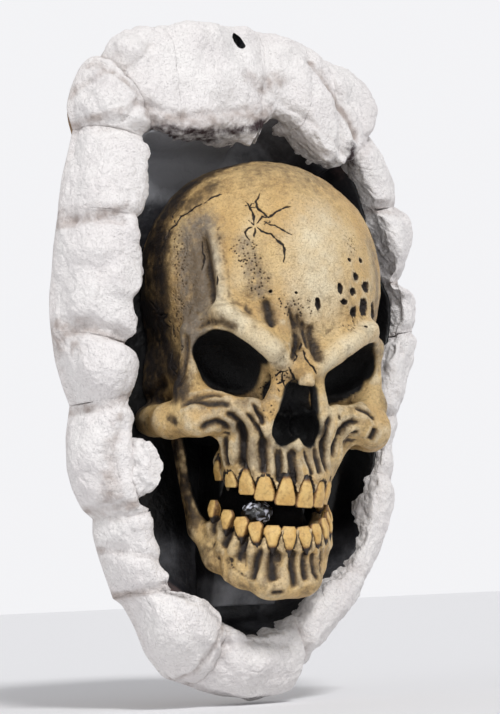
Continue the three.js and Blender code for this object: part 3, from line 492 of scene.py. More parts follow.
# Name: height share, first joint, last joint, rulings between.
LUMPS = dict(
    corner_top_left=(0.85, "corner_left", "corner_top", [(-0.578, 0.622, -0.885, 0.72),
     (-0.567, 0.628, -0.85, 0.79), (-0.556, 0.632, -0.8, 0.85),
     (-0.545, 0.635, -0.745, 0.885)]),
    wedge_top=(0.8, "corner_top", "slab_left", [(-0.5, 0.634, -0.62, 0.942),
     (-0.47, 0.632, -0.5, 0.981)]),
    hanging_slab=(1.0, "slab_left", "slab_right", [(-0.33, 0.635, -0.3, 1.003),
     (-0.22, 0.645, -0.13, 1.012), (-0.12, 0.64, 0.05, 1.018)]),
    rough_top=(0.95, "slab_right", "rough_right", [(0.03, 0.69, 0.22, 1.0),
     (0.1, 0.718, 0.29, 0.986), (0.19, 0.709, 0.34, 0.98)]),
    tilted_slab=(1.1, "rough_right", "tilted_right", [(0.32, 0.64, 0.41, 0.972),
     (0.4, 0.587, 0.45, 0.967)]),
    round_top_right=(0.95, "tilted_right", "round_low", [(0.5, 0.575, 0.56, 0.945),
     (0.53, 0.59, 0.68, 0.93), (0.55, 0.6, 0.79, 0.885), (0.565, 0.61, 0.845, 0.83),
     (0.575, 0.615, 0.815, 0.765)]),
    shoulder_right=(0.95, "round_low", "shoulder_low", [(0.615, 0.57, 0.85, 0.65),
     (0.645, 0.515, 0.89, 0.565)]),
    block_right=(1.0, "shoulder_low", "block_low", [(0.7, 0.42, 0.975, 0.462),
     (0.75, 0.33, 1.01, 0.37), (0.765, 0.28, 0.985, 0.3)]),
    knuckle_right=(0.9, "block_low", "knuckle_low", [(0.815, 0.18, 1.01, 0.2),
     (0.815, 0.13, 1.02, 0.14)]),
    flank_right=(0.9, "knuckle_low", "flank_low", [(0.77, 0.02, 1, 0.03),
     (0.71, -0.06, 0.97, -0.05), (0.695, -0.11, 0.92, -0.12)]),
    sliver_right=(0.8, "flank_low", "sliver_low", [(0.695, -0.26, 0.815, -0.26)]),
    spine_right=(0.8, "sliver_low", "spine_low", [(0.6, -0.48, 0.79, -0.49),
     (0.545, -0.56, 0.735, -0.59)]),
    slope_bottom_right=(0.85, "spine_low", "slope_low", [(0.36, -0.68, 0.545, -0.755),
     (0.25, -0.73, 0.41, -0.83), (0.19, -0.76, 0.3, -0.88)]),
    foot_bottom=(0.95, "slope_low", "foot_left", [(0.07, -0.8, 0.15, -0.985),
     (-0.04, -0.81, 0, -1.005), (-0.14, -0.815, -0.14, -0.995), (-0.22, -0.8, -0.25, -0.975)]),
    heel_bottom_left=(1.0, "foot_left", "heel_top", [(-0.34, -0.74, -0.46, -0.93),
     (-0.39, -0.71, -0.555, -0.86), (-0.45, -0.69, -0.61, -0.775),
     (-0.5, -0.675, -0.67, -0.712)]),
    facet_left=(0.75, "heel_top", "facet_top", [(-0.56, -0.64, -0.755, -0.63),
     (-0.59, -0.58, -0.79, -0.57), (-0.64, -0.52, -0.815, -0.51)]),
    pillow_left=(0.85, "facet_top", "pillow_top", [(-0.725, -0.44, -0.865, -0.44),
     (-0.745, -0.41, -0.915, -0.38), (-0.76, -0.335, -0.94, -0.325),
     (-0.76, -0.25, -0.94, -0.23), (-0.755, -0.205, -0.925, -0.185)]),
    knob_left=(1.1, None, None, [(-0.725, -0.415, -0.765, -0.417),
     (-0.672, -0.39, -0.79, -0.395), (-0.638, -0.34, -0.8, -0.335),
     (-0.665, -0.285, -0.79, -0.27), (-0.725, -0.25, -0.77, -0.247)]),
    wedge_left=(0.9, "pillow_top", "wedge_top", [(-0.74, -0.08, -0.95, -0.09),
     (-0.725, -0.03, -0.985, -0.02)]),
    cheek_left=(1.0, "wedge_top", "cheek_top", [(-0.7, 0.068, -1.008, 0.1),
     (-0.73, 0.14, -1.005, 0.17), (-0.66, 0.215, -0.99, 0.235), (-0.7, 0.29, -0.975, 0.31)]),
    shoulder_left=(0.95, "cheek_top", "corner_left", [(-0.64, 0.43, -0.94, 0.44),
     (-0.62, 0.5, -0.92, 0.51), (-0.6, 0.56, -0.885, 0.58)]),
)
SECTION = [(0.04, 0), (0, 0.35), (0, 0.82), (0.04, 0.96), (0.15, 1), (0.45, 0.97), (0.74, 0.79),
           (0.92, 0.5), (1, 0.18), (0.97, 0)]


def ring_places(shares):
    """Shares of the ring as millimetres: x and z of the inner end, then of the outer end."""
    shares = np.asarray(shares, float)
    return shares * np.tile(RING_HALF, 2) + np.tile(RING_MIDDLE, 2)


def lump_rulings(name):
    """The lump's rulings, from the joint before it to the joint after it."""
    _, first, last, between = LUMPS[name]
    before, after = ([JOINTS[joint]] if joint else [] for joint in (first, last))
    return ring_places(before + between + after)


def ring_rulings():
    """The rulings of the whole ring, lump after lump. The knob stands in front of it."""
    return np.concatenate([lump_rulings(name)[:-1] for name in LUMPS if name != "knob_left"])


def to_segments(points, starts, ends):
    """Distance of every point to the nearest of some segments, and how far along the row it is."""
    best = np.full(len(points), np.inf)
    place = np.zeros(len(points))
    for k, (start, end) in enumerate(zip(starts, ends)):
        along = end - start
        share = np.clip((points - start) @ along / (along @ along), 0, 1)
        away = np.linalg.norm(points - start - share[:, None] * along, axis=1)
        closer = away < best
        best = np.where(closer, away, best)
        place = np.where(closer, (k + share) / len(starts), place)
    return best, place


def to_line(points, line):
    """Distance to a line of places, and the share of its length reached there."""
    return to_segments(points, line[:-1], line[1:])


# Joints that hardly show, and how much of a full valley they have.
SOFT_JOINTS = dict(
    slab_left=0.1, slab_right=0.45, rough_right=0.3, tilted_right=0.6, pillow_top=0.7)
joint_rows = ring_places([row for name, row in JOINTS.items() if name not in SOFT_JOINTS])
print("lumps:", len(LUMPS), "joints:", len(joint_rows))

# %% [markdown]
# A crease in the plaster was a stroke of the maker's thumb. Each one is written as a few places in
# the picture, and a ray through each meets the plane where the rubble's front lies. A groove then
# follows the row of places: deepest on it, and gone within its own width.

# %% Creases of the plaster
CREASE_PLANE = 43.0
# Depth and half width in mm, then places.
CREASES = [
    (4.0, 4.0, [(65, 210), (86, 214), (118, 222)]),
    (2.2, 3.2, [(60, 307), (94, 322), (78, 352), (68, 373)]),
    (4.0, 4.0, [(94, 322), (112, 331), (131, 345)]),
    (3.0, 3.4, [(72, 404), (100, 408), (131, 403)]),
    (2.6, 4.0, [(122, 430), (112, 452), (118, 476)]),
    (3.0, 3.4, [(90, 500), (100, 515), (128, 505)]),
    (2.6, 3.0, [(110.7, 525), (114, 556), (127, 591)]),
    (1.8, 2.6, [(115, 520), (119, 550), (125, 590)]),
    (3.0, 3.6, [(121, 598), (148, 594), (173, 583)]),
    (2.6, 3.6, [(129, 548), (150, 556), (170, 562)]),
    (3.2, 3.0, [(222, 622), (212, 650), (204, 678)]),
    (2.6, 3.2, [(75, 100), (100, 84), (118, 64), (122, 48)]),
    (2.6, 3.2, [(116, 56), (130, 76), (144, 94), (129, 116)]),
    (2.4, 3.0, [(161, 40), (150, 52), (136, 66)]),
    (2.4, 4.2, [(243, 76), (252, 90), (263, 106)]),
    (1.8, 2.4, [(143, 100), (180, 118), (240, 113)]),
    (2.2, 3.0, [(263, 92), (300, 122), (345, 160)]),
    (2.6, 3.2, [(311, 60), (330, 98), (349, 137)]),
    (2.4, 3.0, [(322, 69), (338, 98), (346, 122), (352, 143)]),
    (1.6, 2.6, [(336, 68), (350, 102), (362, 137)]),
    (2.4, 3.6, [(376, 209), (392, 216), (406, 214)]),
    (2.4, 3.4, [(382, 280), (398, 284), (411, 281)]),
    (2.0, 3.0, [(402, 300), (396, 330), (402, 352)]),
    (2.0, 3.0, [(226, 645), (250, 640), (284, 645)]),
]
# Boulders and ledges: height and radius in mm, then the place of the middle.
BUMPS = [
    (7, 19, (113, 367)), (5, 14, (150, 562)), (7, 26, (178, 632)), (5, 17, (92, 118)),
    (6, 15, (142, 42)), (4, 16, (256, 662)), (4, 10, (250, 54)), (4, 13, (100, 250)),
    (5, 15, (96, 450)), (4, 12, (340, 88)), (4, 13, (392, 244)), (3, 9, (406, 291)),
    (4, 15, (212, 88)), (5, 14, (120, 280)),
]

# Grime and painted shade on the plaster, by mask: strength, reach in mm, places. The first row of
# each mask paints the shade under the hanging slab, where it faces down.
GRIME_AND_SHADE = {
    "stain_and_shade": [
        (0.5, 13, [(150, 112), (170, 119), (195, 122), (225, 122), (262, 115)]),
        (0.6, 10, [(243, 80), (258, 88), (276, 80)]),
        (0.5, 5, [(96, 113), (120, 112), (141, 100)]),
        (0.5, 4, [(118, 62), (132, 80), (143, 92)]),
        (0.55, 8, [(66, 312), (88, 322), (84, 346), (72, 372)]),
        (0.55, 5, [(86, 402), (108, 405), (130, 396)]),
        (0.45, 8, [(118, 420), (112, 452), (118, 496)]),
        (0.5, 7, [(96, 508), (118, 512), (134, 505)]),
        (0.45, 5, [(114, 524), (118, 556), (126, 592)]),
        (0.55, 7, [(60, 214), (90, 216), (122, 210)]),
        (0.4, 6, [(215, 625), (210, 650), (203, 680)]),
        (0.8, 5, [(313, 64), (332, 98), (350, 137)]),
    ],
    "dark_paint_and_shade": [
        (0.7, 6, [(158, 127), (180, 132), (210, 135), (240, 133), (262, 125)]),
        (0.35, 4, [(168, 590), (190, 600), (212, 618)]),
        (0.7, 7, [(345, 150), (356, 178), (366, 205)]),
    ],
}


def on_front_plane(pixels):
    """Where rays through the picture meet the plane of the rubble's front, as x and z."""
    rays = pixel_rays(pixels)
    reach = (-CREASE_PLANE - camera_place[1]) / rays[:, 1:2]
    return (camera_place + rays * reach)[:, [0, 2]]


def crease_depth(flat):
    """How deep the traced creases cut at each x and z: depth * exp(-(distance / width)^2)."""
    return sum(depth * bell(to_line(flat, on_front_plane(pixels))[0] / width)
               for depth, width, pixels in CREASES)


def bump_height(flat):
    """How far the boulders stand out at each x and z: height * (1 - (distance / radius)^2)^2."""
    total = np.zeros(len(flat))
    for (height, radius, _), middle in zip(BUMPS, on_front_plane([bump[2] for bump in BUMPS])):
        share = np.clip(1 - ((flat - middle) ** 2).sum(1) / radius**2, 0, 1)
        total += height * share**2
    return total


# %% Lumps
LUMP_STEP = 0.62
RULING_EASE, SECTION_EASE = 1.8, 1.6
SECTION_SIZE = (38.0, RUBBLE_DEPTH)
REAR_POINTS = 12
JOINT_REACH = 16
VALLEY_WIDTH, VALLEY_SHARE = 4.0, 0.11
KNOB_EDGE, KNOB_FALL = 14.0, 0.45
RUBBLE_LIMIT = 52.0
# The section swells near its outer edge. Some lumps have all of it, the others a third.
FULLER_UP, FULLER_AT, FULLER_WIDTH = 0.2, 0.88, 0.15
FULL_LUMPS = dict(hanging_slab=1.0, rough_top=0.7, cheek_left=0.7, shoulder_left=0.6,
                  heel_bottom_left=0.6, knob_left=0)
FULL_ELSEWHERE = 0.35
# The slab is thinner round the hanging hole.
DIMPLE_DEPTH, DIMPLE_RADIUS = 9.5, 24.0

section, _ = along_path(np.array(SECTION) * SECTION_SIZE, LUMP_STEP, SECTION_EASE)
section = section / SECTION_SIZE
section = np.concatenate([section, np.linspace(section[-1], section[0], REAR_POINTS)[1:-1]])


def joint_height(name, own):
    """The height share at a joint: the mean of its lump's own and the one of the lump beyond it."""
    others = [LUMPS[n][0] for n in LUMPS if name in LUMPS[n][1:3] and name]
    return sum(others) / len(others) if others else own


def lump_height(name, flat, distances):
    """How high the plaster stands over each place. At a joint it has its neighbour's height, and a
    valley exp(-(distance / width)^2) runs along it. The knob's ends are quarter ellipses."""
    own, *joints = LUMPS[name][:3]
    if joints[0] is None:
        edge = 1 - np.clip(np.minimum(*distances) / KNOB_EDGE, 0, 1)
        return RUBBLE_DEPTH * own * (1 - KNOB_FALL * (1 - np.sqrt(1 - edge**2)))
    wander = noise(np.insert(flat.reshape(-1, 2), 1, 0, axis=1), 21.0, 17).reshape(flat.shape[:2])
    share, valley = own, 0
    for joint, away in zip(joints, distances):
        share = share + (joint_height(joint, own) - own) * smooth(JOINT_REACH, 0, away)
        depth = VALLEY_SHARE * SOFT_JOINTS.get(joint, 1) * (1 + 0.8 * wander)
        valley = np.maximum(valley, depth * bell(away / (VALLEY_WIDTH * (1 + 0.4 * wander))))
    return RUBBLE_DEPTH * share * (1 - valley)


def plaster_swell(where, rim_side, is_knob):
    """How far noise, creases and boulders move the plaster along its normal, in mm: broad facets
    and fine grain everywhere, chips where the rim of the hole broke, more grain on the knob."""
    forward, flat = -where[:, 1], where[:, [0, 2]]
    warped = where + 1.6 * noise_shift(where, 8.0, (81, 83, 85))
    swell = layered(where, (1.4, 34.0, 3), (0.3, 3.4, 7), (0.24, 1.7, 11))
    swell += layered(warped, (3.4, 33.0, 5), (1.5, 15.0, 89), (0.75, 6.5, 87), kind=facets)
    swell -= 0.35 * crazing(where, noise(where, 6, 15) * 3, 7.0, 13)
    chipped = layered(where, (1.8, 9.0, 91), (0.9, 4.0, 93), kind=facets)
    swell += rim_side * smooth(14, 26, forward) * chipped
    if is_knob:
        swell = 0.4 * swell + 1.5 * facets(where, 4.5, 95) + 0.7 * noise(where, 2.2, 97)
    swell += smooth(6, 26, forward) * (bump_height(flat) - crease_depth(flat))
    return swell * smooth(LUMP_REAR, LUMP_REAR + 6, forward)


def lump_piece(name):
    """A section carried along the rulings: point = inner + across * (outer - inner), and forward =
    up * height. Its outer edge is fuller away from the ends, noise moves the surface along its
    normal, and the slab is pressed straight in round the hanging hole."""
    across, up = section.T
    rows, _ = along_path(lump_rulings(name), LUMP_STEP, RULING_EASE)
    inner, outer = rows[:, None, :2], rows[:, None, 2:]
    flat = inner + across[None, :, None] * (outer - inner)
    distances = [to_line(flat.reshape(-1, 2), rows[end].reshape(2, 2))[0].reshape(flat.shape[:2])
                 for end in (0, -1)]
    fuller = FULLER_UP * bell((across - FULLER_AT) / FULLER_WIDTH) * smooth(0.15, 0.35, up)
    fuller = fuller * FULL_LUMPS.get(name, FULL_ELSEWHERE)
    up = up + fuller * smooth(0, JOINT_REACH, np.minimum(*distances))
    forward = LUMP_REAR + up * lump_height(name, flat, distances)
    grid = np.stack([flat[..., 0], -forward, flat[..., 1]], -1)
    normals = grid_normals(grid)
    if np.einsum("ijk,ijk->", normals, grid - grid.mean((0, 1))) < 0:
        normals = -normals
    rim_side = np.tile(smooth(0.1, 0.0, across), len(rows))
    swell = plaster_swell(grid.reshape(-1, 3), rim_side, name == "knob_left")
    grid = grid + normals * swell.reshape(grid.shape[:2])[..., None]
    dimple = np.clip(1 - (grid[..., [0, 2]] ** 2).sum(2) / DIMPLE_RADIUS**2, 0, 1) ** 2
    grid[..., 1] += DIMPLE_DEPTH * dimple * smooth(10, 20, -grid[..., 1])
    grid[..., 1] = np.clip(grid[..., 1], -RUBBLE_LIMIT, -LUMP_REAR)
    points, triangles = closed_tube(grid)
    return new_piece("lump_" + name, points, triangles, plaster,
                     ["plaster_" + name], plaster_masks(points))


def plaster_masks(points):
    """Stain gathers in joints, and painted shade with it in creases and low on the outer faces near
    the wall; dark paint and painted shade lie deep in the hole and on the inner faces, most at the
    upper right and lower left."""
    flat = points[:, [0, 2]]
    joint, _ = to_segments(flat, joint_rows[:, :2], joint_rows[:, 2:])
    centre = (flat - RING_MIDDLE) / RING_HALF
    depth = -points[:, 1]
    blotch = noise(points, 16.0, 21)
    # Stain in the joints and blotches, and painted shade in the creases and low near the wall.
    stain_and_shade = 0.3 * smooth(5.0, 0.5, joint + 3 * blotch) + 0.35 * smooth(1.0, 3.0, crease_depth(flat))
    stain_and_shade += 0.08 * smooth(0.3, 0.8, blotch) + 0.25 * smooth(18, 8, depth)
    inner = smooth(0.86, 0.72, np.linalg.norm(centre, axis=1))
    grimy = smooth(0.1, 0.5, centre[:, 0] * centre[:, 1] + 0.1 * blotch)
    # Dark paint and painted shade on the inner faces: darker deeper in the hole, most at the upper
    # right and lower left.
    dark_paint_and_shade = inner * smooth(38, 14, depth + 8 * blotch) * (0.55 + 0.45 * grimy)
    dark_paint_and_shade += 0.55 * grimy * inner * smooth(46, 34, depth)
    masks = {"stain_and_shade": stain_and_shade, "dark_paint_and_shade": dark_paint_and_shade}
    broken = 1 + layered(points, (0.5, 7.0, 23), (0.4, 3.0, 25))
    for mask, rows in GRIME_AND_SHADE.items():
        for strength, reach, pixels in rows:
            away, _ = to_line(flat, on_front_plane(pixels))
            here = strength * smooth(1.0, 0.1, away / reach) * broken
            masks[mask] = np.maximum(masks[mask], here)
    return masks


lumps = {name: lump_piece(name) for name in LUMPS}
print("the hanging slab has", len(lumps["hanging_slab"].data.polygons), "faces")

# %% [markdown]
# The decoration hangs from a nail through a rough hole near the top, at the frame's origin. A real
# hole shows its walls, so a ragged plug is taken out of the slab, and later out of the panel behind
# it, with a Boolean modifier that is applied at once. The walls keep the plug's near-black paint,
# which is painted shade inside the hole.

# %% The hanging hole
HOLE_HALF = np.array([4.3, 5.4])
PLUG_AROUND, PLUG_RINGS, PLUG_BEYOND = 40, 60, 3


def hole_plug():
    """A ragged oval carried along y: radius = half size * (1 + noise)."""
    angle = np.linspace(0, 2 * pi, PLUG_AROUND, endpoint=False)
    oval = np.stack([np.cos(angle), np.sin(angle)], 1) * HOLE_HALF
    depths = np.linspace(-PLUG_BEYOND, RUBBLE_LIMIT + PLUG_BEYOND, PLUG_RINGS)
    grid = np.stack([np.insert(oval, 1, -depth, axis=1) for depth in depths])
    ragged = 1 + 0.16 * noise(grid.reshape(-1, 3), 3.4, 101)
    grid = grid * ragged.reshape(*grid.shape[:2], 1) ** np.array([1, 0, 1])
    points, triangles = closed_tube(grid)
    # Painted deep shade all over the plug.
    masks = {"deep_shade": np.ones(len(points))}
    return new_piece("hole_plug", points, triangles, dark_paint_and_shade, [], masks)


def pierce(piece):
    """The piece with the plug taken out, as a finished mesh."""
    plug = hole_plug()
    cut = piece.modifiers.new("hole", "BOOLEAN")
    cut.operation, cut.solver, cut.material_mode = "DIFFERENCE", "EXACT", "TRANSFER"
    cut.object = plug
    seen = piece.evaluated_get(bpy.context.evaluated_depsgraph_get())
    done = bpy.data.meshes.new_from_object(seen)
    piece.modifiers.clear()
    piece.data = done
    bpy.data.objects.remove(plug)
    print(piece.name, "pierced, materials", [m.name for m in done.materials])


pierce(lumps["hanging_slab"])

# %% [markdown]
# ## The bones as one smooth field
# The skull was one lump of clay, and a field is the closest thing to clay in numbers. Balls and
# tapered rods each give a distance, and a blended minimum melts them together. Eye sockets, nose
# and temples are balls taken away. The surface is where the field is zero. Everything is
# symmetrical, in a frame of its own: x across, y to the rear and z up from between the eyes, in
# millimetres.

# %% Frame of the head
def turn(axis, degrees):
    """The matrix of a turn about one axis."""
    c, s = cos(radians(degrees)), sin(radians(degrees))
    first, second = [(1, 2), (2, 0), (0, 1)]["xyz".index(axis)]
    matrix = np.eye(3)
    matrix[first, first] = matrix[second, second] = c
    matrix[first, second], matrix[second, first] = -s, s
    return matrix


HEAD_TURN = turn("z", -10.5) @ turn("x", 3) @ turn("y", 3.9)
HEAD_PLACE = np.array([-2.0, -77.0, -209.0])
JAW_TURN = turn("y", -5)
JAW_PIVOT = np.array([0.0, 0.0, -95.0])
CHIN_LEAN = np.float32(0.11)
FLOOR_DEPTH = 8.6


def to_world(points):
    return points @ HEAD_TURN.T + HEAD_PLACE


def to_head(points):
    return (points - HEAD_PLACE) @ HEAD_TURN


# %% Balls, rods and hollows
# Balls: x, forward, up, then three radii, lean in degrees and blend.
SKULL_BALLS = [
    (0, -40, 50, 71.2, 56, 81, 0, 0), (0, -64, 46.25, 70.5, 58, 78, 0, 10),
    (28, -45, 62.5, 44.8, 44, 58, 0, 10), (0, -19, 47, 58.5, 41.5, 56, 0, 10),
    (0, -57, -4, 70, 42, 42, 0, 12), (0, -16, -38, 33.6, 31, 26, 0, 10),
    (47, -30, 4, 17, 21, 28, 0, 8), (25, -4, -43, 13, 14, 15, 0, 9),
]
# Rods: x, forward, up of both ends, radius at both ends, blend.
SKULL_RODS = [
    (7, 15.5, 4, 25, 13.5, 16, 8.5, 9, 11), (25, 13.5, 16, 44, 5, 25, 9, 8.5, 11),
    (44, 5, 25, 58, -9, 20, 8, 5.5, 8), (59.5, -10, 20, 59.5, -9, -16, 5.5, 6.5, 8),
    (59.5, -9, -16, 56, -3, -27, 6.5, 8, 8), (27, 10, -20.5, 44, 4.5, -21.5, 4.5, 5.5, 7),
    (44, 4.5, -21.5, 59.5, -8, -14, 5.5, 6, 7),
    (32, 8, -27.5, 56, 0, -29, 7.0, 9.0, 8), (56, -1, -30, 65.5, -20, -31, 10.5, 9.6, 6),
    (65.5, -20, -31, 65.5, -56, -30, 9.6, 9.4, 6), (0, 14, 14, 0, 23.5, -6, 7, 5.0, 6),
    (11.5, 13, -4, 18.8, 10.5, -33, 4.5, 5.5, 6), (0, 7, -57, 15.2, 4.5, -57, 9.5, 9.3, 7),
    (15.2, 4.5, -57, 24, -7, -55, 9.3, 8.2, 5), (24, -7, -55, 27.5, -24, -53, 8.2, 7.5, 5),
    (48, -3, -31, 35, -3, -41, 5, 4.2, 4), (35, -3, -41, 30.5, -9, -60, 4.2, 4, 4),
    (0, 13, -41, 0, 16.5, -35, 5, 2.2, 4),
]
SKULL_HOLLOWS = [
    (39.5, 8, 2.3, 24.2, 30, 15.0, 34, 2.5), (6.8, 18, -31.5, 8.8, 24, 11.2, 14, 2),
    (3.0, 20, -19, 6.8, 22, 11.2, 12, 2), (95, -22, 12, 27, 24, 34, 0, 10),
    (0, -28, -75, 23.2, 32, 18, 0, 4),
]
JAW_RODS = [
    (0, 12, -120.5, 10, 10, -119.5, 10, 10, 0), (10, 10, -119.5, 20.8, -6, -113.5, 10, 9.5, 6),
    (20.8, -6, -113.5, 30, -22, -105, 9.5, 8.5, 6), (30, -22, -105, 38.5, -33, -90, 8.5, 6, 6),
    (38.5, -33, -90, 44.5, -36, -66, 5, 2.6, 5), (44.5, -36, -66, 48.5, -36, -30, 2.6, 2.4, 5),
    (38, -42, -90, 46, -46, -38, 4, 3, 6), (0, 10, -103.5, 13.6, 7, -101.5, 7.5, 7.5, 8),
    (13.6, 7, -101.5, 24.8, -5, -97, 7.5, 7, 7), (24.8, -5, -97, 32, -20, -89, 7, 6.5, 7),
]

# The two rows of teeth, on half ellipses about the head's axis: lengths in mm, angles in degrees.
BITES = {
    "upper": dict(half_width=32, depth=36, back=22, drop=69.5, rise=9, lean=4,
                  angles=(10.5, 31, 49, 67, 87), crowns=(17, 16.5, 15, 12.5, 11),
                  widths=(11.2, 10.6, 9.8, 8.8, 8.6)),
    "lower": dict(half_width=34, depth=39.5, back=22, drop=95.5, rise=20.5, lean=0,
                  angles=(7.8, 22.7, 37.5, 51, 66, 85), crowns=(12, 12, 12, 11, 9.5, 8),
                  widths=(8.8, 8.6, 8.4, 8, 8, 8.2)),
}
ARCH_BLEND = 2.4


def arch_place(bite, degrees):
    """A place on a row of teeth: x = sin(a) * half width, forward = depth * cos(a) - back."""
    a = radians(degrees)
    return sin(a) * bite["half_width"], bite["depth"] * cos(a) - bite["back"]


def arch_rods(bite, gaps, tip, stem, end):
    """Bone between and over the teeth: a spike points at the bite in each gap, and a ridge covers
    each root but the last."""
    rods = []
    for degrees in gaps:
        x, forward = arch_place(bite, degrees)
        rods.append((x, forward + 0.4, stem, x, forward + 3.2, tip, 4.2, 0.9, ARCH_BLEND))
    for degrees in bite["angles"][:-1]:
        x, forward = arch_place(bite, degrees)
        high = stem + (stem - tip) * 0.25
        rods.append((x, forward - 1.4, high, x * 0.94, forward - 2.6, end, 3.9, 2.3, ARCH_BLEND))
    return rods


SKULL_RODS += arch_rods(BITES["upper"], (0, 20.75, 40, 58, 77), -69.5, -59.5, -43)
JAW_RODS += arch_rods(BITES["lower"], (0, 15.2, 30, 44, 58.5, 75), -91.5, -101, -117)


def ball_distance(x, y, z, row):
    """About how far outside a ball: size * (size - 1) / slope, where size is 1 on its surface."""
    at_x, forward, at_z, rx, ry, rz, lean = row[:7]
    dx, dy, dz = x - at_x, y + forward, z - at_z
    c, s = np.float32(cos(radians(lean))), np.float32(sin(radians(lean)))
    u, v, w = (c * dx + s * dz) / rx, dy / ry, (c * dz - s * dx) / rz
    size = np.sqrt(u * u + v * v + w * w)
    slope = np.sqrt((u / rx) ** 2 + (v / ry) ** 2 + (w / rz) ** 2)
    return size * (size - 1) / np.maximum(slope, 1e-6)


def rod_distance(x, y, z, row):
    """Distance to the segment less the radius there, which runs evenly from end to end."""
    ax, af, az, bx, bf, bz, first, second = row[:8]
    lx, ly, lz = bx - ax, af - bf, bz - az
    dx, dy, dz = x - ax, y + af, z - az
    share = np.clip((dx * lx + dy * ly + dz * lz) / (lx * lx + ly * ly + lz * lz), 0, 1)
    away = np.sqrt((dx - share * lx) ** 2 + (dy - share * ly) ** 2 + (dz - share * lz) ** 2)
    return away - (first + (second - first) * share)


def blended(a, b, blend):
    """The lesser of two distances, rounded where they are within `blend` of each other."""
    if not blend:
        return np.minimum(a, b)
    near = np.maximum(blend - np.abs(a - b), 0) / blend
    return np.minimum(a, b) - near * near * (blend / 4)


def joined(x, y, z, balls, rods=()):
    """Balls and rods melted together, each with a blend of its own."""
    distance = np.float32(1e3)
    for rows, measure in ((balls, ball_distance), (rods, rod_distance)):
        for row in rows:
            distance = blended(distance, measure(x, y, z, row), row[-1])
    return distance


def skull_solid(p):
    """The field of the skull before its hollows are taken away."""
    return joined(np.abs(p[..., 0]), p[..., 1], p[..., 2], SKULL_BALLS, SKULL_RODS)


def skull_field(p):
    """The skull with its hollows, cut off where it meets the floor of the recess."""
    distance = skull_solid(p)
    side = np.abs(p[..., 0])
    for row in SKULL_HOLLOWS:
        distance = -blended(-distance, ball_distance(side, p[..., 1], p[..., 2], row), row[-1])
    world_y = p @ HEAD_TURN[1].astype(p.dtype) + np.float32(HEAD_PLACE[1])
    return np.maximum(distance, world_y + FLOOR_DEPTH)


def jaw_field(p):
    """The jaw hangs askew, so the places are turned back before the rods are measured."""
    pivot = JAW_PIVOT.astype(p.dtype)
    q = (p - pivot) @ JAW_TURN.astype(p.dtype) + pivot
    aside = CHIN_LEAN * np.maximum(pivot[2] - q[..., 2], 0)
    return joined(np.abs(q[..., 0] + aside), q[..., 1], q[..., 2], [], JAW_RODS)


# %% [markdown]
# ## From a field to a mesh
# A surface net puts one point into every grid cell that the surface crosses, at the middle of the
# crossings on the cell's edges, and one quad across every crossed grid edge. The points are then
# slid along the field's slope onto the surface itself. Where a crack or a pit will be cut, long
# edges are split, so fine detail has fine triangles and the rest stays light.

# %% Surface net
def surface_net(field, low, high, step):
    """Points and triangles where the field is zero inside a box, on a grid of equal steps."""
    axes = [np.arange(a, b + step, step, dtype=np.float32) for a, b in zip(low, high)]
    place = np.stack(np.meshgrid(*axes, indexing="ij"), -1)
    values = field(place)
    for axis in range(3):
        edge = [slice(None)] * 3
        for edge[axis] in (0, -1):
            values[tuple(edge)] = np.maximum(values[tuple(edge)], step)
    inside = values < 0
    shape = np.array(values.shape) - 1
    cells_hit, crossings, quads = [], [], []
    for axis in range(3):
        side, up = (axis + 1) % 3, (axis + 2) % 3
        before, after = [slice(None)] * 3, [slice(None)] * 3
        before[axis], after[axis] = slice(0, -1), slice(1, None)
        index = np.argwhere(inside[tuple(before)] != inside[tuple(after)])
        inner = [(index[:, k] > 0) & (index[:, k] < shape[k]) for k in (side, up)]
        index = index[inner[0] & inner[1]]
        next_index = index.copy()
        next_index[:, axis] += 1
        first, second = values[tuple(index.T)], values[tuple(next_index.T)]
        crossing = index.astype(float)
        crossing[:, axis] += first / (first - second)
        ring = []
        for step_side, step_up in ((-1, -1), (0, -1), (0, 0), (-1, 0)):
            cell = index.copy()
            cell[:, side] += step_side
            cell[:, up] += step_up
            ring.append(np.ravel_multi_index(cell.T, shape))
            cells_hit.append(ring[-1])
            crossings.append(crossing)
        ring = np.stack(ring, 1)
        quads.append(np.where(first[:, None] < 0, ring, ring[:, ::-1]))
    hit, number = np.unique(np.concatenate(cells_hit), return_inverse=True)
    crossings = np.concatenate(crossings)
    count = np.bincount(number)
    middle = np.stack([np.bincount(number, crossings[:, k]) / count for k in range(3)], 1)
    quads = np.searchsorted(hit, np.concatenate(quads))
    return middle * step + np.array(low), split_quads(quads)


SLOPE_REACH, SLIDE_LIMIT = 0.4, 2


def slope_of(field, points):
    """The field's unit gradient by central differences."""
    ways = SLOPE_REACH * np.eye(3)
    gradient = np.stack([field(points + way) - field(points - way) for way in ways], 1)
    return gradient / np.maximum(np.linalg.norm(gradient, axis=1, keepdims=True), 1e-9)


def onto_surface(field, points, rounds=2):
    """Each point moved along the slope by the field's value there, but no further than a limit."""
    for _ in range(rounds):
        slide = np.clip(field(points), -SLIDE_LIMIT, SLIDE_LIMIT)
        points = points - slope_of(field, points) * slide[:, None]
    return points


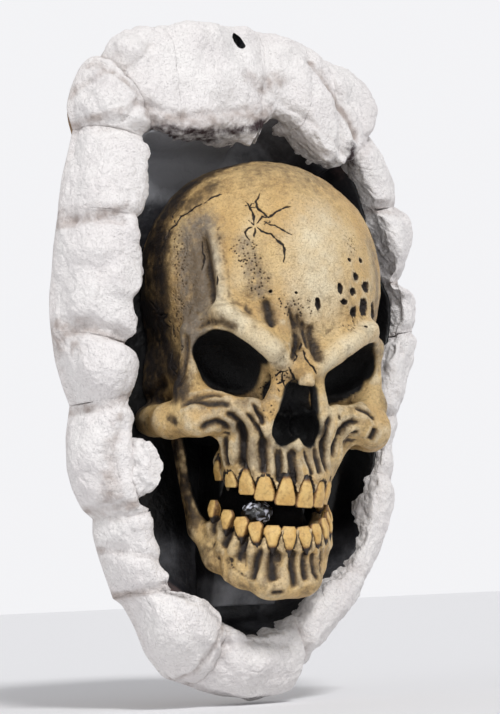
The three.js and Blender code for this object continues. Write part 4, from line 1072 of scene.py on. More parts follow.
def split_edges(points, triangles, wanted):
    """Halves every edge longer than `wanted` gives at its middle, and cuts the triangles too."""
    edges = np.sort(triangles[:, [0, 1, 1, 2, 2, 0]].reshape(-1, 2), axis=1)
    unique, number = np.unique(edges, axis=0, return_inverse=True)
    number = number.reshape(-1, 3)
    ends = points[unique]
    middles = ends.mean(1)
    split = np.linalg.norm(ends[:, 0] - ends[:, 1], axis=1) > wanted(middles)
    fresh = np.full(len(unique), -1)
    fresh[split] = len(points) + np.arange(split.sum())
    corner, middle = triangles, fresh[number]
    flags = (middle >= 0) @ np.array([1, 2, 4])
    done = [corner[flags == 0]]
    for code, shift in ((1, 0), (2, 1), (4, 2)):
        rows = flags == code
        a, b, c = (corner[rows, (k + shift) % 3] for k in range(3))
        m = middle[rows, shift]
        done += [np.stack([a, m, c], 1), np.stack([m, b, c], 1)]
    for code, shift in ((3, 0), (6, 1), (5, 2)):
        rows = flags == code
        a, b, c = (corner[rows, (k + shift) % 3] for k in range(3))
        m, n = middle[rows, shift], middle[rows, (shift + 1) % 3]
        done += [np.stack([m, b, n], 1), np.stack([a, m, n], 1), np.stack([a, n, c], 1)]
    rows = flags == 7
    a, b, c = corner[rows].T
    m, n, o = middle[rows].T
    done += [np.stack(t, 1) for t in ((a, m, o), (m, b, n), (o, n, c), (m, n, o))]
    return np.concatenate([points, middles[split]]), np.concatenate(done), int(split.sum())


SKULL_BOX, SKULL_STEP = ((-86, -40, -70), (86, 76, 134)), 1.3
skull_points, skull_triangles = surface_net(skull_field, *SKULL_BOX, SKULL_STEP)
skull_points = onto_surface(skull_field, skull_points)
print("skull net:", len(skull_points), "points", len(skull_triangles), "triangles")

# %% [markdown]
# ## Marks traced from the picture
# Cracks, pits, folds and smudges of paint, some of them painted shade and painted highlight, are
# named places in the picture. A ray through each place walks forward by the field's value until it
# touches the bone, which turns a stroke in the picture into a stroke on the bone. Some smudges have a
# weaker twin on the far side, which the picture doesn't show.

# %% Rays onto the bone
FAR_AWAY = 99.0
RAY_START, RAY_ROUNDS, RAY_STEPS = 160.0, 90, (0.02, 30)
STROKE_REACH = 14


def meet_bone(field, pixels):
    """Where rays through the picture first touch a field, or pass nearest to it, in the head's
    frame."""
    rays = pixel_rays(pixels) @ HEAD_TURN
    start = np.repeat(to_head(camera_place[None]), len(rays), 0)
    reach = np.full(len(rays), CAMERA_DISTANCE - RAY_START)
    best, best_reach = np.full(len(rays), np.inf), reach.copy()
    for _ in range(RAY_ROUNDS):
        value = field(start + rays * reach[:, None])
        closer = value < best
        best, best_reach = np.where(closer, value, best), np.where(closer, reach, best_reach)
        reach = reach + np.where(value > RAY_STEPS[0], np.clip(value * 0.7, *RAY_STEPS), 0)
    return start + rays * best_reach[:, None]


def near_line(points, line, reach):
    """Which points lie in the box around a line, made larger by reach on every side."""
    return np.all((points > line.min(0) - reach) & (points < line.max(0) + reach), axis=1)


def line_distance(points, pixels, field):
    """Distance from points to a traced stroke, and the share of its length reached there."""
    line = meet_bone(field, pixels)
    away, place = np.full(len(points), FAR_AWAY), np.zeros(len(points))
    near = near_line(points, line, STROKE_REACH)
    away[near], place[near] = to_line(points[near], line)
    return away, place


# Cracks: half width and depth in mm, then places.
CRACKS = [
    (0.5, 1.1, [(260.1, 193.6), (256.5, 201), (257.2, 207.4), (262, 211.2), (268.7, 217),
     (277.3, 211.2), (284, 207.5), (291.7, 206.4)]),
    (0.45, 1.0, [(244.8, 201.3), (249.6, 207.4), (253.4, 216), (254, 224.2)]),
    (0.3, 0.7, [(243.5, 206), (249.6, 207.4), (255.3, 207.4)]),
    (0.4, 0.9, [(263.9, 220.7), (268.5, 223.6), (275.4, 225.2), (283.1, 230.4),
     (291.7, 234.2)]),
    (0.45, 1.0, [(255.3, 225), (262, 231.3), (271.6, 233.2), (277.3, 240.9), (283.7, 245.3),
     (284.7, 254), (283.2, 262.9)]),
    (0.42, 0.9, [(252.5, 225.6), (248.6, 228), (244.8, 231.9), (248.6, 239.6)]),
    (0.35, 0.8, [(255.3, 226.5), (254.4, 237.1)]),
    (0.32, 0.7, [(248, 219.4), (254.4, 224.6)]),
    (0.35, 0.8, [(268.7, 217), (262, 216), (257.8, 221.8), (254.6, 225)]),
    (0.3, 0.7, [(268.7, 217), (270.5, 222), (264, 224)]),
    (0.3, 0.7, [(249.6, 207.4), (251.5, 203), (255, 204)]),
    (0.5, 1.2, [(165.4, 239), (170, 229), (175.9, 223.7), (180, 216), (187.4, 213.1),
     (196, 206), (206.6, 202.6)]),
    (0.35, 0.8, [(176, 224), (172, 216), (176, 210)]),
    (0.4, 0.9, [(204, 203), (214, 196), (222, 194)]),
    (0.5, 1.1, [(153.7, 311.6), (160, 315), (166.4, 314.4), (162.7, 321.7), (170.2, 327.2)]),
    (0.4, 0.9, [(160, 315), (156, 324), (161, 333), (158, 345)]),
    (0.4, 0.9, [(166, 318), (174, 326), (173, 338)]),
    (0.45, 1.0, [(150, 300), (156, 308), (160, 315)]),
    (0.4, 0.9, [(172, 352), (170, 366), (176, 374), (179.8, 389.6)]),
    (0.35, 0.8, [(177, 331), (181, 348), (178, 362)]),
    (0.35, 0.8, [(200, 240), (203, 258), (201, 270)]),
    (0.55, 1.2, [(303.2, 349), (304.5, 356), (308, 362.4), (313, 367), (316.6, 373.9)]),
    (0.55, 1.2, [(288.8, 368.1), (291, 374), (294.6, 379.6), (297.4, 387.3)]),
    (0.4, 0.8, [(272.4, 377.8), (280, 372), (288.8, 370.1)]),
    (0.35, 0.8, [(278, 384), (284, 381), (288, 385), (294, 383)]),
    (0.35, 0.8, [(283, 372), (282, 380), (285, 388)]),
    (0.35, 0.8, [(270, 390), (276, 388), (280, 392)]),
    (0.35, 0.8, [(302, 340), (300, 348), (303.2, 349)]),
    (0.35, 0.7, [(295, 345), (297, 356), (293, 364)]),
    (0.4, 0.6, [(219.5, 276), (217, 285)]),
]
# Pits: place, then half sizes across and down in pixels.
PITS = [
    (350, 259.5, 1.6, 1.6), (361.2, 260.6, 1.8, 1.8), (356.4, 276.3, 2.5, 2.7),
    (366.3, 286.8, 3.4, 4.2), (340.1, 288.7, 1.7, 4), (352.5, 291.6, 2.3, 2.8),
    (344.3, 302.1, 2.3, 2.3), (353.9, 311.7, 2.7, 3.5), (363.8, 306.5, 2.9, 6),
    (373.4, 313.6, 1.8, 8), (363.8, 328.3, 1.1, 1.1), (318.1, 303.7, 1.7, 4.5),
    (270.6, 291.2, 1.2, 1.2), (296.5, 292.6, 1.1, 1.1),
]
# Folds: half width and depth in mm (less than zero is a ridge), darkness of the dark wash and painted
# shade in the fold, places.
FOLDS = [
    (6.0, -2.7, 0, [(212, 296), (222, 311), (240, 323), (256, 335), (270, 347), (283, 358)]),
    (5.0, -2.0, 0, [(316, 369), (330, 358), (346, 346), (364, 334), (378, 325)]),
    (3.0, -1.3, 0, [(207, 222), (214, 250), (219, 280), (221, 304)]),
    (3.2, 1.7, 0.5, [(200, 228), (207, 252), (211, 280), (211, 306)]),
    (3.0, 1.0, 0.45, [(192, 330), (204, 322), (222, 322), (240, 331)]),
    (2.4, 0.9, 0.65, [(183, 403), (195, 400), (209.4, 403), (223.7, 403), (233.3, 405.5)]),
    (2.0, 0.8, 0.5, [(177, 408.5), (186, 402.8), (198.3, 397), (214, 394), (226, 396)]),
    (2.2, 1.3, 0.75, [(198, 431.5), (207.4, 424.7), (217, 421.8), (224.7, 425.6), (229, 431)]),
    (1.6, 1.5, 0.9, [(227, 434), (224.9, 444.8), (224.7, 454.3), (226, 462), (228.5, 467.5)]),
    (2.0, 1.6, 0.8, [(223.7, 411.6), (233.3, 415.4), (240.6, 423.7), (244.6, 433.3),
     (245.4, 444)]),
    (2.7, 1.9, 0.95, [(236, 421), (241.5, 431), (243.4, 442.8), (243, 452.4), (242, 462),
     (240.5, 470.6)]),
    (1.5, 1.2, 0.85, [(251.6, 401), (257.2, 409.4), (261, 417), (262.5, 426)]),
    (1.3, 1.3, 0.85, [(243.8, 411), (252.4, 418), (257.2, 426.6), (261, 435.2), (263.4, 443)]),
    (3.0, 2.0, 0.9, [(261.4, 436), (263.9, 446), (263.9, 456.2), (263, 467.7), (262, 476)]),
    (2.1, 1.8, 0.95, [(278.3, 447), (279.2, 462), (279.2, 474.4), (279.2, 483)]),
    (2.6, 1.8, 0.9, [(291, 447), (292.6, 462), (293.6, 474.4), (293.6, 485)]),
    (1.1, 1.0, 0.85, [(304.5, 450), (307, 459), (310, 468), (312, 477)]),
    (1.5, 1.4, 0.9, [(315.3, 445.5), (316.8, 460), (319, 476)]),
    (2.0, 1.9, 0.9, [(333.7, 413), (329.6, 421), (325.5, 429), (323, 439), (323, 452),
     (325, 464), (327, 474)]),
    (1.6, 1.9, 1.0, [(364, 423.5), (353, 421.5), (345, 425), (340, 431), (335.7, 439.4),
     (333.7, 447.6), (333, 460)]),
    (1.5, -1.0, 0, [(357, 427.5), (349, 430.5), (344, 437), (341, 448), (339, 462)]),
    (1.3, 1.0, 0.7, [(353, 406.5), (362, 410), (370, 414), (376, 420)]),
    (1.0, 1.0, 0.8, [(338.5, 417.4), (339.8, 417.4), (341, 417.4)]),
    (1.7, 1.4, 0.9, [(376, 427), (373, 434.5), (369, 441)]),
    (1.2, 0.9, 0.7, [(351, 433), (357, 433)]),
    (3.2, 1.5, 0.65, [(264, 297), (267.5, 308), (271, 318), (276, 327)]),
    (1.4, 0.8, 0.6, [(289, 305), (292, 318), (297, 331)]),
    (1.2, 0.7, 0.6, [(297, 311), (299.5, 326), (301, 342)]),
    (1.6, 0.9, 0.7, [(302, 318), (304, 334), (309, 350)]),
    (1.8, 1.0, 0.75, [(297, 330), (297, 345), (291, 362)]),
    (3.4, 1.2, 0.45, [(294, 312), (298, 338), (297, 352)]),
    (3.4, 1.4, 0.6, [(309, 322), (312.5, 342), (320, 366)]),
    (3.2, 1.2, 0.6, [(176, 392), (182, 372), (186, 350), (184, 330)]),
    (2.6, 1.1, 0.7, [(168, 380), (158, 388), (150, 398), (147, 404)]),
    (1.6, 0.8, 0.5, [(236, 462), (247, 470), (249, 474)]),
]
JAW_FOLDS = [
    (2.6, 1.2, 0.75, [(214.5, 520), (213, 531)]),
    (3.0, 1.6, 0.9, [(233, 526), (227.5, 537.4), (222, 548)]),
    (2.8, 1.7, 0.9, [(247.5, 537.5), (241.9, 550.8), (237.5, 562.5)]),
    (2.3, 1.8, 0.9, [(262.5, 545.5), (257.2, 559.4), (254.3, 571), (252, 582)]),
    (3.2, 2.0, 0.95, [(276, 547.5), (271.8, 562.3), (271.6, 573.8), (275, 582.5)]),
    (2.1, 1.6, 0.9, [(295, 548.8), (291.9, 564.2), (293.6, 575.7), (293.8, 590)]),
    (1.9, 1.6, 0.9, [(305.6, 549.8), (303.3, 564.2), (304, 573.8), (306.4, 581.5)]),
    (1.7, 1.3, 0.85, [(313.5, 552), (312.5, 563.3), (313.9, 572), (318.8, 580.5)]),
    (1.1, 1.0, 0.8, [(319.4, 545), (320.4, 561.3), (319.4, 574.8)]),
    (1.4, 0.8, 0.8, [(273.5, 593), (281, 592.6)]),
    (0.6, 0.6, 0.6, [(224, 559.4), (241.6, 573.7), (251, 580)]),
]
# Patches of paint or texture, by mask: strength, reach in mm, whether the far side has one too,
# places. The pale forehead patch and the pale brow rolls are painted highlight; the wash rows along
# the left side and the top edge are a dark wash with painted shade; some grey rows round the folds
# are grey paint with painted shade.
PATCHES = {
    "grey_and_shade": [
        (1.1, 26, True, [(197, 232), (197, 275), (195, 305), (188, 338)]),
        (0.5, 12, False, [(292, 306), (300, 330), (300, 352)]),
        (0.5, 13, True, [(246, 405), (262, 402), (272, 392)]),
        (0.5, 13, False, [(286, 372), (292, 386)]),
        (0.6, 14, False, [(245, 245), (252, 262), (260, 290)]),
        (0.62, 17, True, [(232, 420), (250, 455)]), (0.6, 16, False, [(270, 450), (310, 455)]),
        (0.5, 10, False, [(222, 350), (250, 392), (270, 396)]),
        (0.45, 12, True, [(190, 402), (222, 410)]),
    ],
    "wash_and_shade": [
        (1.0, 18, True, [(161, 238), (158, 270), (159, 300), (162, 335), (170, 362), (178, 387)]),
        (0.8, 5, True, [(170, 418), (176, 421)]),
        (1.0, 19, True, [(159, 228), (169, 206), (186, 187), (209, 173), (236, 164)]),
        (0.55, 16, False, [(190, 205), (212, 186)]), (0.6, 14, False, [(236, 164), (300, 168)]),
        (0.4, 14, True, [(196, 240), (196, 300)]), (0.4, 8, False, [(300, 312), (302, 340)]),
    ],
    "dry_brush_and_highlight": [
        (0.9, 46, False, [(326, 232), (312, 262), (320, 290)]),
        (1.0, 13, True, [(216, 292), (226, 311), (244, 326), (262, 342), (281, 360)]),
        (1.0, 13, False, [(326, 366), (345, 348), (366, 330)]),
        (0.8, 8, True, [(209, 226), (216, 257), (222, 290)]),
        (0.6, 14, True, [(232, 404), (252, 440), (253, 472)]),
        (0.7, 9, False, [(286, 445), (286, 470)]),
        (0.7, 12, False, [(330, 408), (318, 440), (318, 470)]),
        (0.5, 14, True, [(250, 225), (240, 280)]),
    ],
    "pores": [
        (1.0, 13, False, [(243, 248), (252, 265), (260, 288)]),
        (1.0, 11, False, [(286, 306), (304, 308)]), (0.9, 8, False, [(350, 236), (352, 250)]),
        (0.9, 9, False, [(346, 326), (354, 322)]), (1.0, 9, False, [(280, 374), (290, 388)]),
        (1.0, 8, True, [(266, 388), (268, 412)]),
        (0.7, 13, True, [(180, 240), (180, 290), (176, 340)]),
    ],
}
patch_spines = {mask: [meet_bone(skull_field, row[3]) for row in rows]
                for mask, rows in PATCHES.items()}
NEAR_SIDE, FAR_SIDE = (1, 1.0), (-1, 0.5)


def patch_mask(points, name):
    """The strongest patch of one kind at each point: strength, eased to 0 at the patch's reach,
    and half as strong on the far side."""
    mask = np.zeros(len(points))
    for (strength, reach, both, _), spine in zip(PATCHES[name], patch_spines[name]):
        for mirror, share in (NEAR_SIDE, FAR_SIDE) if both else (NEAR_SIDE,):
            line = spine * (mirror, 1, 1)
            near = near_line(points, line, reach)
            away, _ = to_line(points[near], line)
            mask[near] = np.maximum(mask[near], share * strength * smooth(1, 0, away / reach))
    return mask


pit_places = meet_bone(skull_field, [pit[:2] for pit in PITS])
crack_lines = [meet_bone(skull_field, crack[2]) for crack in CRACKS]
print("traced", len(CRACKS), "cracks,", len(PITS), "pits and", len(FOLDS + JAW_FOLDS), "folds")

# %% Finer triangles where the marks are
CRACK_EDGE, BESIDE_EDGE, PIT_EDGE, PORE_EDGE, ROOT_EDGE = 0.45, 0.8, 0.6, 0.7, 0.9
CRACK_REACH = 3


def wanted_edge(points):
    """How long an edge may be: short near a crack or a pit, anything elsewhere."""
    want = np.full(len(points), FAR_AWAY)
    for line in crack_lines:
        near = near_line(points, line, CRACK_REACH)
        away, _ = to_line(points[near], line)
        edge = np.where(away < 1.5, CRACK_EDGE, np.where(away < 2.4, BESIDE_EDGE, FAR_AWAY))
        want[near] = np.minimum(want[near], edge)
    for centre, pit in zip(pit_places, PITS):
        reach = max(pit[2:]) * MM_PER_PIXEL + 1.2
        close = np.linalg.norm(points - centre, axis=1) < reach
        want = np.where(close, np.minimum(want, PIT_EDGE), want)
    want = np.where(patch_mask(points, "pores") > 0.25, np.minimum(want, PORE_EDGE), want)
    teeth = (points[:, 2] < -56) & (points[:, 1] < 12)
    return np.where(teeth, np.minimum(want, ROOT_EDGE), want)


for _ in range(3):
    skull_points, skull_triangles, fresh = split_edges(skull_points, skull_triangles, wanted_edge)
    skull_points[-fresh:] = onto_surface(skull_field, skull_points[-fresh:])
print("skull refined:", len(skull_points), "points", len(skull_triangles), "triangles")

# %% [markdown]
# ## Teeth
# Upper and lower teeth stand on half ellipses that rise towards the cheeks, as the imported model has
# them. A tooth is a stack of rounded sections. The upper ones widen like a wedge from the gum to
# the bite, and the lower ones are shields that stand upside down, each a little different.

# %% Places of the teeth
TOOTH_ROOT = 5.0
TOOTH_THICKNESS = 7.0
TOOTH_OUTWARD = 0.9
TOOTH_RINGS, TOOTH_AROUND = 22, 26
ring_share, around_angle = np.meshgrid(
    np.linspace(0, 1, TOOTH_RINGS), np.linspace(0, 2 * pi, TOOTH_AROUND, endpoint=False),
    indexing="ij")


def bite_places(bite):
    """Each tooth's name, crown, width, place, and turn about z in degrees."""
    rows = []
    for side, word in ((-1, "left"), (1, "right")):
        sizes = zip(bite["angles"], bite["crowns"], bite["widths"])
        for i, (degrees, crown, width) in enumerate(sizes):
            x, forward = arch_place(bite, side * degrees)
            a = radians(degrees)
            up = bite["rise"] * (1 - cos(a)) - bite["drop"] - x * tan(radians(bite["lean"]))
            about = side * np.degrees(atan(bite["depth"] / bite["half_width"] * tan(a)))
            rows.append((f"{word}_{i + 1}", crown, width, np.array([x, -forward, up]), about))
    return rows


def rounded(wave):
    """A sine or cosine made squarer, so that a section's corners fill out."""
    return np.sign(wave) * np.abs(wave) ** 0.75


def tooth_points(crown, width, seed, pointed):
    """Sections from the root's end (share 0) to the tip (share 1). A pointed tooth widens evenly to
    its bite, another one swells early like a shield; the bite is rounded and the front bulges."""
    share = 1 - (1 - ring_share) ** 1.15
    shield = np.minimum(1.0, 0.1 + 1.18 * share**0.92) * (1 - 0.28 * smooth(0.84, 1.0, share))
    wedge = (0.1 + 0.9 * np.sin(share * pi / 2) ** 1.2) * (1 - 0.16 * smooth(0.92, 1.0, share))
    half = width / 2 * 1.17 * (wedge if pointed else shield)
    thick = TOOTH_THICKNESS / 2 * np.minimum(1, 0.55 + 1.1 * share)
    thick = thick * (1 - 0.6 * smooth(0.55, 1.0, share))
    z = crown / 2 + TOOTH_ROOT - share * (crown + TOOTH_ROOT)
    x, y = half * rounded(np.cos(around_angle)), thick * rounded(np.sin(around_angle))
    grid = np.stack([x, y, z], -1)
    move = layered(grid.reshape(-1, 3) + seed * 17.3, (0.35, 5.0, 31), (0.15, 1.8, 33))
    return grid + grid * (1, 1, 0) / (width / 2) * move.reshape(*share.shape, 1)


def placed_tooth(lower, seed, crown, width, place, about):
    """A tooth's grid in the head's frame. A lower one is turned over, with a size of its own."""
    grid = tooth_points(crown, width, seed + 20 * lower, not lower)
    if lower:
        grid = grid * (1 + 0.07 * sin(2.4 * seed), 1, 1 + 0.06 * sin(1.3 * seed + 2))
        grid = grid @ turn("y", 180 + 5 * sin(1.7 * seed + 1)).T
    facing = turn("z", about)
    grid = grid @ facing.T + place + facing @ np.array([0, -TOOTH_OUTWARD, 0])
    return (grid - JAW_PIVOT) @ JAW_TURN.T + JAW_PIVOT if lower else grid


# The teeth are darker near the gum and on their flanks, as painted shade at the gum and between the
# teeth, and browner at the tip.
flank = smooth(0.72, 0.98, np.abs(np.cos(around_angle)))
tooth_wash_and_shade = smooth(0.34, 0.16, ring_share) + 0.6 * flank + 0.25 * smooth(0.93, 1, ring_share)
tooth_wash_and_shade = np.append(np.clip(tooth_wash_and_shade, 0, 1), (1, 0.2))
sockets = {}
for row_name, bite in BITES.items():
    sockets[row_name] = []
    for seed, (label, *sizes) in enumerate(bite_places(bite)):
        grid = placed_tooth(row_name == "lower", seed, *sizes)
        sockets[row_name].append(grid)
        points, triangles = closed_tube(grid)
        new_piece(f"enamel_{row_name}_{label}", to_world(points), triangles, enamel,
                  [f"{row_name}_tooth_{label}"], {"wash_and_shade": tooth_wash_and_shade})
print("teeth:", sum(len(grids) for grids in sockets.values()))

# %% [markdown]
# ## Sculpting and painting the skull
# The marks now move the points along the normal: folds and cracks go in, root ridges come out. The
# same distances give the paint masks. Hollows are darker, with a dark wash that is partly painted
# shade, which the field can measure: a place is hidden where the field stays small on the way out
# from the surface.

# %% Skull relief and paint
HIDDEN_STEPS = (2.5, 5.0, 9.0)
GUM_REACH = 4
RIDGE_WIDTH, SHADE_WIDTH, SHADE_SHARE = 0.8, 2.0, 0.8


def hidden(field, points, normals):
    """0 on open bone to 1 in a hollow: how much less than its own step the field grows outwards."""
    growth = [np.clip(1 - field(points + normals * step) / step, 0, 1) for step in HIDDEN_STEPS]
    return sum(growth) / len(HIDDEN_STEPS)


def gum_line(points, grids):
    """Distance to the nearest tooth, by its grid points in coarse steps."""
    best = np.full(len(points), FAR_AWAY)
    for grid in grids:
        cloud = grid[4:16:2, ::2].reshape(-1, 3)
        near = near_line(points, cloud, GUM_REACH)
        if near.any():
            away = np.linalg.norm(points[near][:, None] - cloud[None], axis=2).min(1)
            best[near] = np.minimum(best[near], away)
    return best


def sunk(points, triangles, normals, rounds):
    """How far each point lies below the surface eased by averaging neighbours `rounds` times, in
    mm: more than 0 in a groove, less than 0 on a ridge. More rounds see wider grooves."""
    edges = np.sort(triangles[:, [0, 1, 1, 2, 2, 0]].reshape(-1, 2), axis=1)
    edges = np.unique(edges, axis=0)
    here, there = np.concatenate([edges, edges[:, ::-1]]).T
    count = np.bincount(here, minlength=len(points))[:, None]
    eased = points
    for _ in range(rounds):
        total = np.stack([np.bincount(here, eased[there, k], len(points)) for k in range(3)], 1)
        eased = 0.35 * eased + 0.65 * total / count
    return np.einsum("ij,ij->i", eased - points, normals)


def carve_folds(points, field, folds, ease, groove, ridge, paint):
    """How far traced folds move the surface, how dark their wash with painted shade is in the groove,
    and how dark the wider painted shade round it is. Each is share * exp(-(distance / width)^2),
    faded where the stroke ends. Groove and paint give a share and a width, and ridge a share and how
    far beside the groove it stands, in the fold's sizes."""
    move, wash_and_shade, shade = np.zeros((3, len(points)))
    for width, depth, darkness, pixels in folds:
        away, place = line_distance(points, pixels, field)
        taper = smooth(-0.02, ease, place) * smooth(1.02, 0.85, place) if len(pixels) > 2 else 1
        move -= groove[0] * depth * bell(away / (groove[1] * width)) * taper
        beside = bell((away - ridge[1] * width) / (RIDGE_WIDTH * width)) * (away < FAR_AWAY)
        move += ridge[0] * depth * beside * taper
        wash_and_shade = np.maximum(wash_and_shade, paint[0] * darkness * bell(away / (paint[1] * width)) * taper)
        dim = SHADE_SHARE * darkness * bell(away / (SHADE_WIDTH * width)) * taper
        shade = np.maximum(shade, dim)
    return move, wash_and_shade, shade


normals = slope_of(skull_field, skull_points)
x, y, z = skull_points.T
move, fold_wash_and_shade, fold_shade = carve_folds(
    skull_points, skull_field, FOLDS,
    ease=0.2, groove=(1.75, 1), ridge=(0.4, 2.0), paint=(1.3, 0.95))

crack_mask = np.zeros(len(x))
for (width, depth, _), line in zip(CRACKS, crack_lines):
    near = near_line(skull_points, line, CRACK_REACH)
    here = skull_points[near]
    away, place = to_line(here + 0.55 * noise_shift(here, 2.6, (141, 143, 145)), line)
    taper = 0.55 + 0.45 * smooth(0, 0.15, place) * smooth(1, 0.75, place)
    wobble = 1.2 * (1 + 0.5 * noise(here, 1.5, 41)) * taper
    move[near] -= depth * bell(away / (width * wobble))
    # The crack is painted dark along its groove: a dark wash and painted shade.
    drawn = smooth(1.6 * width, 0.5 * width, away / wobble)
    crack_mask[near] = np.maximum(crack_mask[near], drawn)

# A pit is an egg that lies along the camera's axes. Its rim is bent by noise.
PIT_DEPTH, PIT_REACH, PIT_STRETCH = 2.6, 9, (1.5, 1.3, 2)
camera_axes = np.stack([right_axis, up_axis, back_axis]) @ HEAD_TURN
ragged_rim = 0.25 * noise(skull_points, 1.7, 43)
for centre, (_, _, wide, tall) in zip(pit_places, PITS):
    offset = skull_points - centre
    halves = np.array([wide, tall, max(wide, tall)]) * PIT_STRETCH * MM_PER_PIXEL
    size = np.linalg.norm(offset @ camera_axes.T / halves, axis=1) + ragged_rim
    near = np.linalg.norm(offset, axis=1) < PIT_REACH
    move -= np.where(near, PIT_DEPTH * smooth(1.15, 0.6, size), 0)
    # The pit is painted dark inside: painted shade.
    crack_mask = np.maximum(crack_mask, np.where(near, smooth(1.25, 0.85, size), 0))

gums = gum_line(skull_points, sockets["upper"])
move -= 0.9 * smooth(1.9, 0.6, gums)
# Painted shade at the gum line, between tooth and bone.
crack_mask = np.maximum(crack_mask, smooth(2.1, 1.2, gums))
patches = {name: patch_mask(skull_points, name) for name in PATCHES}
move += layered(skull_points, (0.5, 14, 45), (0.25, 5, 47), (0.14, 2.4, 49))
upright = skull_points * (1, 1, 0.35)
crazed = crazing(upright, noise(skull_points, 6, 67), 6.5, 69)
move -= patches["grey_and_shade"] * (0.4 + 0.7 * np.abs(noise(upright, 3.2, 51)) + 0.5 * crazed)
nearest, _ = cells(skull_points, 1.9, 53)
porous = smooth(0.2, 0.7, patches["pores"] + 0.3 * noise(skull_points, 4, 55))
pore = smooth(0.75, 0.35, nearest) * porous
move -= 0.7 * pore

# %% Where the skull is black inside
# Nose: half width at some heights, and where its rim lies. Orbit: an ellipse that leans outwards.
NOSE_HALF = ((-45, -42, -32, -20, -9, -6), (8, 12.5, 14.5, 13, 11, 8))
NOSE_RIM = ((-43, -6), (-15.5, -25.5))
NOSE_WIDEST = 15.5
ORBIT_LEAN, ORBIT_MIDDLE, ORBIT_HALF = radians(34), (39.5, 2.3), (23.6, 14.4)
ORBIT_RIM = ((18, 60), (-9, 9))
side = np.abs(x)
nose_half = np.minimum(np.interp(z, *NOSE_HALF) + 6 * smooth(-14, -5, y), NOSE_WIDEST)
in_nose = smooth(nose_half + 0.8, nose_half - 1.2, side) * smooth(-46, -43, z) * smooth(-3, -6, z)
nose_rim = np.interp(z, *NOSE_RIM)
wall = smooth(0.05, 0.25, -np.sign(x) * normals[:, 0])
in_nose *= np.maximum(smooth(nose_rim + 0.5, nose_rim + 2.6, y), wall)
outwards, upwards = side - ORBIT_MIDDLE[0], z - ORBIT_MIDDLE[1]
orbit_u = (cos(ORBIT_LEAN) * outwards + sin(ORBIT_LEAN) * upwards) / ORBIT_HALF[0]
orbit_v = (cos(ORBIT_LEAN) * upwards - sin(ORBIT_LEAN) * outwards) / ORBIT_HALF[1]
rim_depth = np.interp(side, *ORBIT_RIM)
in_orbit = smooth(1.06, 0.94, np.hypot(orbit_u, orbit_v)) * smooth(rim_depth, rim_depth + 3.5, y)
palate = smooth(4, 12, y) * smooth(-50, -58, z) * smooth(40, 30, side)
behind_arch = smooth(24, 40, y) * smooth(-22, -34, z) * smooth(60, 50, side)
carved = smooth(0.3, 2.4, -skull_solid(skull_points))
inside_hollow = strongest(carved, in_orbit, in_nose, palate, behind_arch)

# %% The skull's paint
raised = skull_points + normals * move[:, None]
fine_groove = sunk(raised, skull_triangles, normals, 10)
broad_groove = sunk(raised, skull_triangles, normals, 60)
concealed = hidden(skull_field, skull_points, normals)
streaks = layered(upright, (1, 3.6, 57), (0.6, 1.6, 58))
mottle = 0.7 + layered(skull_points, (0.45, 9, 60), (0.35, 2.2, 59)) + 0.4 * streaks
# Darker towards the back of the head: a dark wash that is partly painted shade.
rear = smooth(8, 44, y - 0.1 * np.maximum(z - 60, 0) + 7 * noise(skull_points, 16, 71))
rear *= smooth(74, 40, np.abs(z - 36) * 0.6) * (1 - 0.9 * smooth(-17, -24, z) * smooth(54, 40, y))
# Dark wash and painted shade: folds, cracks, pits, grooves, hollows, the traced dark patches, the
# back of the head, and darker towards the top.
wash_and_shade_mask = strongest(
    fold_wash_and_shade, crack_mask, 0.8 * pore,
    0.75 * smooth(0.1, 0.75, fine_groove),
    0.6 * smooth(0.6, 2.4, broad_groove) * np.clip(mottle, 0.3, 1),
    0.7 * smooth(0.45, 0.9, concealed),
    patches["wash_and_shade"] * np.clip(0.55 + 0.45 * mottle, 0.4, 1),
    rear * np.clip(0.5 * mottle + 0.42, 0.35, 1),
    0.34 * smooth(88, 126, z) * np.clip(0.6 + 0.5 * mottle, 0.4, 1.2),
    0.26 * smooth(0.2, 0.9, mottle - 0.3) * smooth(120, 30, z))
# Grey paint in the temples, and painted shade round the folds.
grey_and_shade_mask = np.maximum(patches["grey_and_shade"] * np.clip(0.6 + 0.5 * mottle, 0.35, 1), fold_shade)
# Cream dry brush on the ridges, and painted highlight on the forehead and the brows.
dry_brush_and_highlight_mask = strongest(
    patches["dry_brush_and_highlight"] * (0.85 + 0.2 * noise(skull_points, 16, 62)),
    0.6 * smooth(0.05, 0.6, -fine_groove), 0.5 * smooth(0.6, 2.6, -broad_groove))
dry_brush_and_highlight_mask *= 0.9 + 0.2 * noise(skull_points, 5, 64)
skull_masks = {"wash_and_shade": wash_and_shade_mask, "dry_brush_and_highlight": dry_brush_and_highlight_mask, "grey_and_shade": grey_and_shade_mask, "black": inside_hollow}
new_piece("skull_bone", to_world(raised), skull_triangles, bone,
          ["skull_shell", "skull_foam_core"], skull_masks)
print("skull:", len(skull_triangles), "triangles")

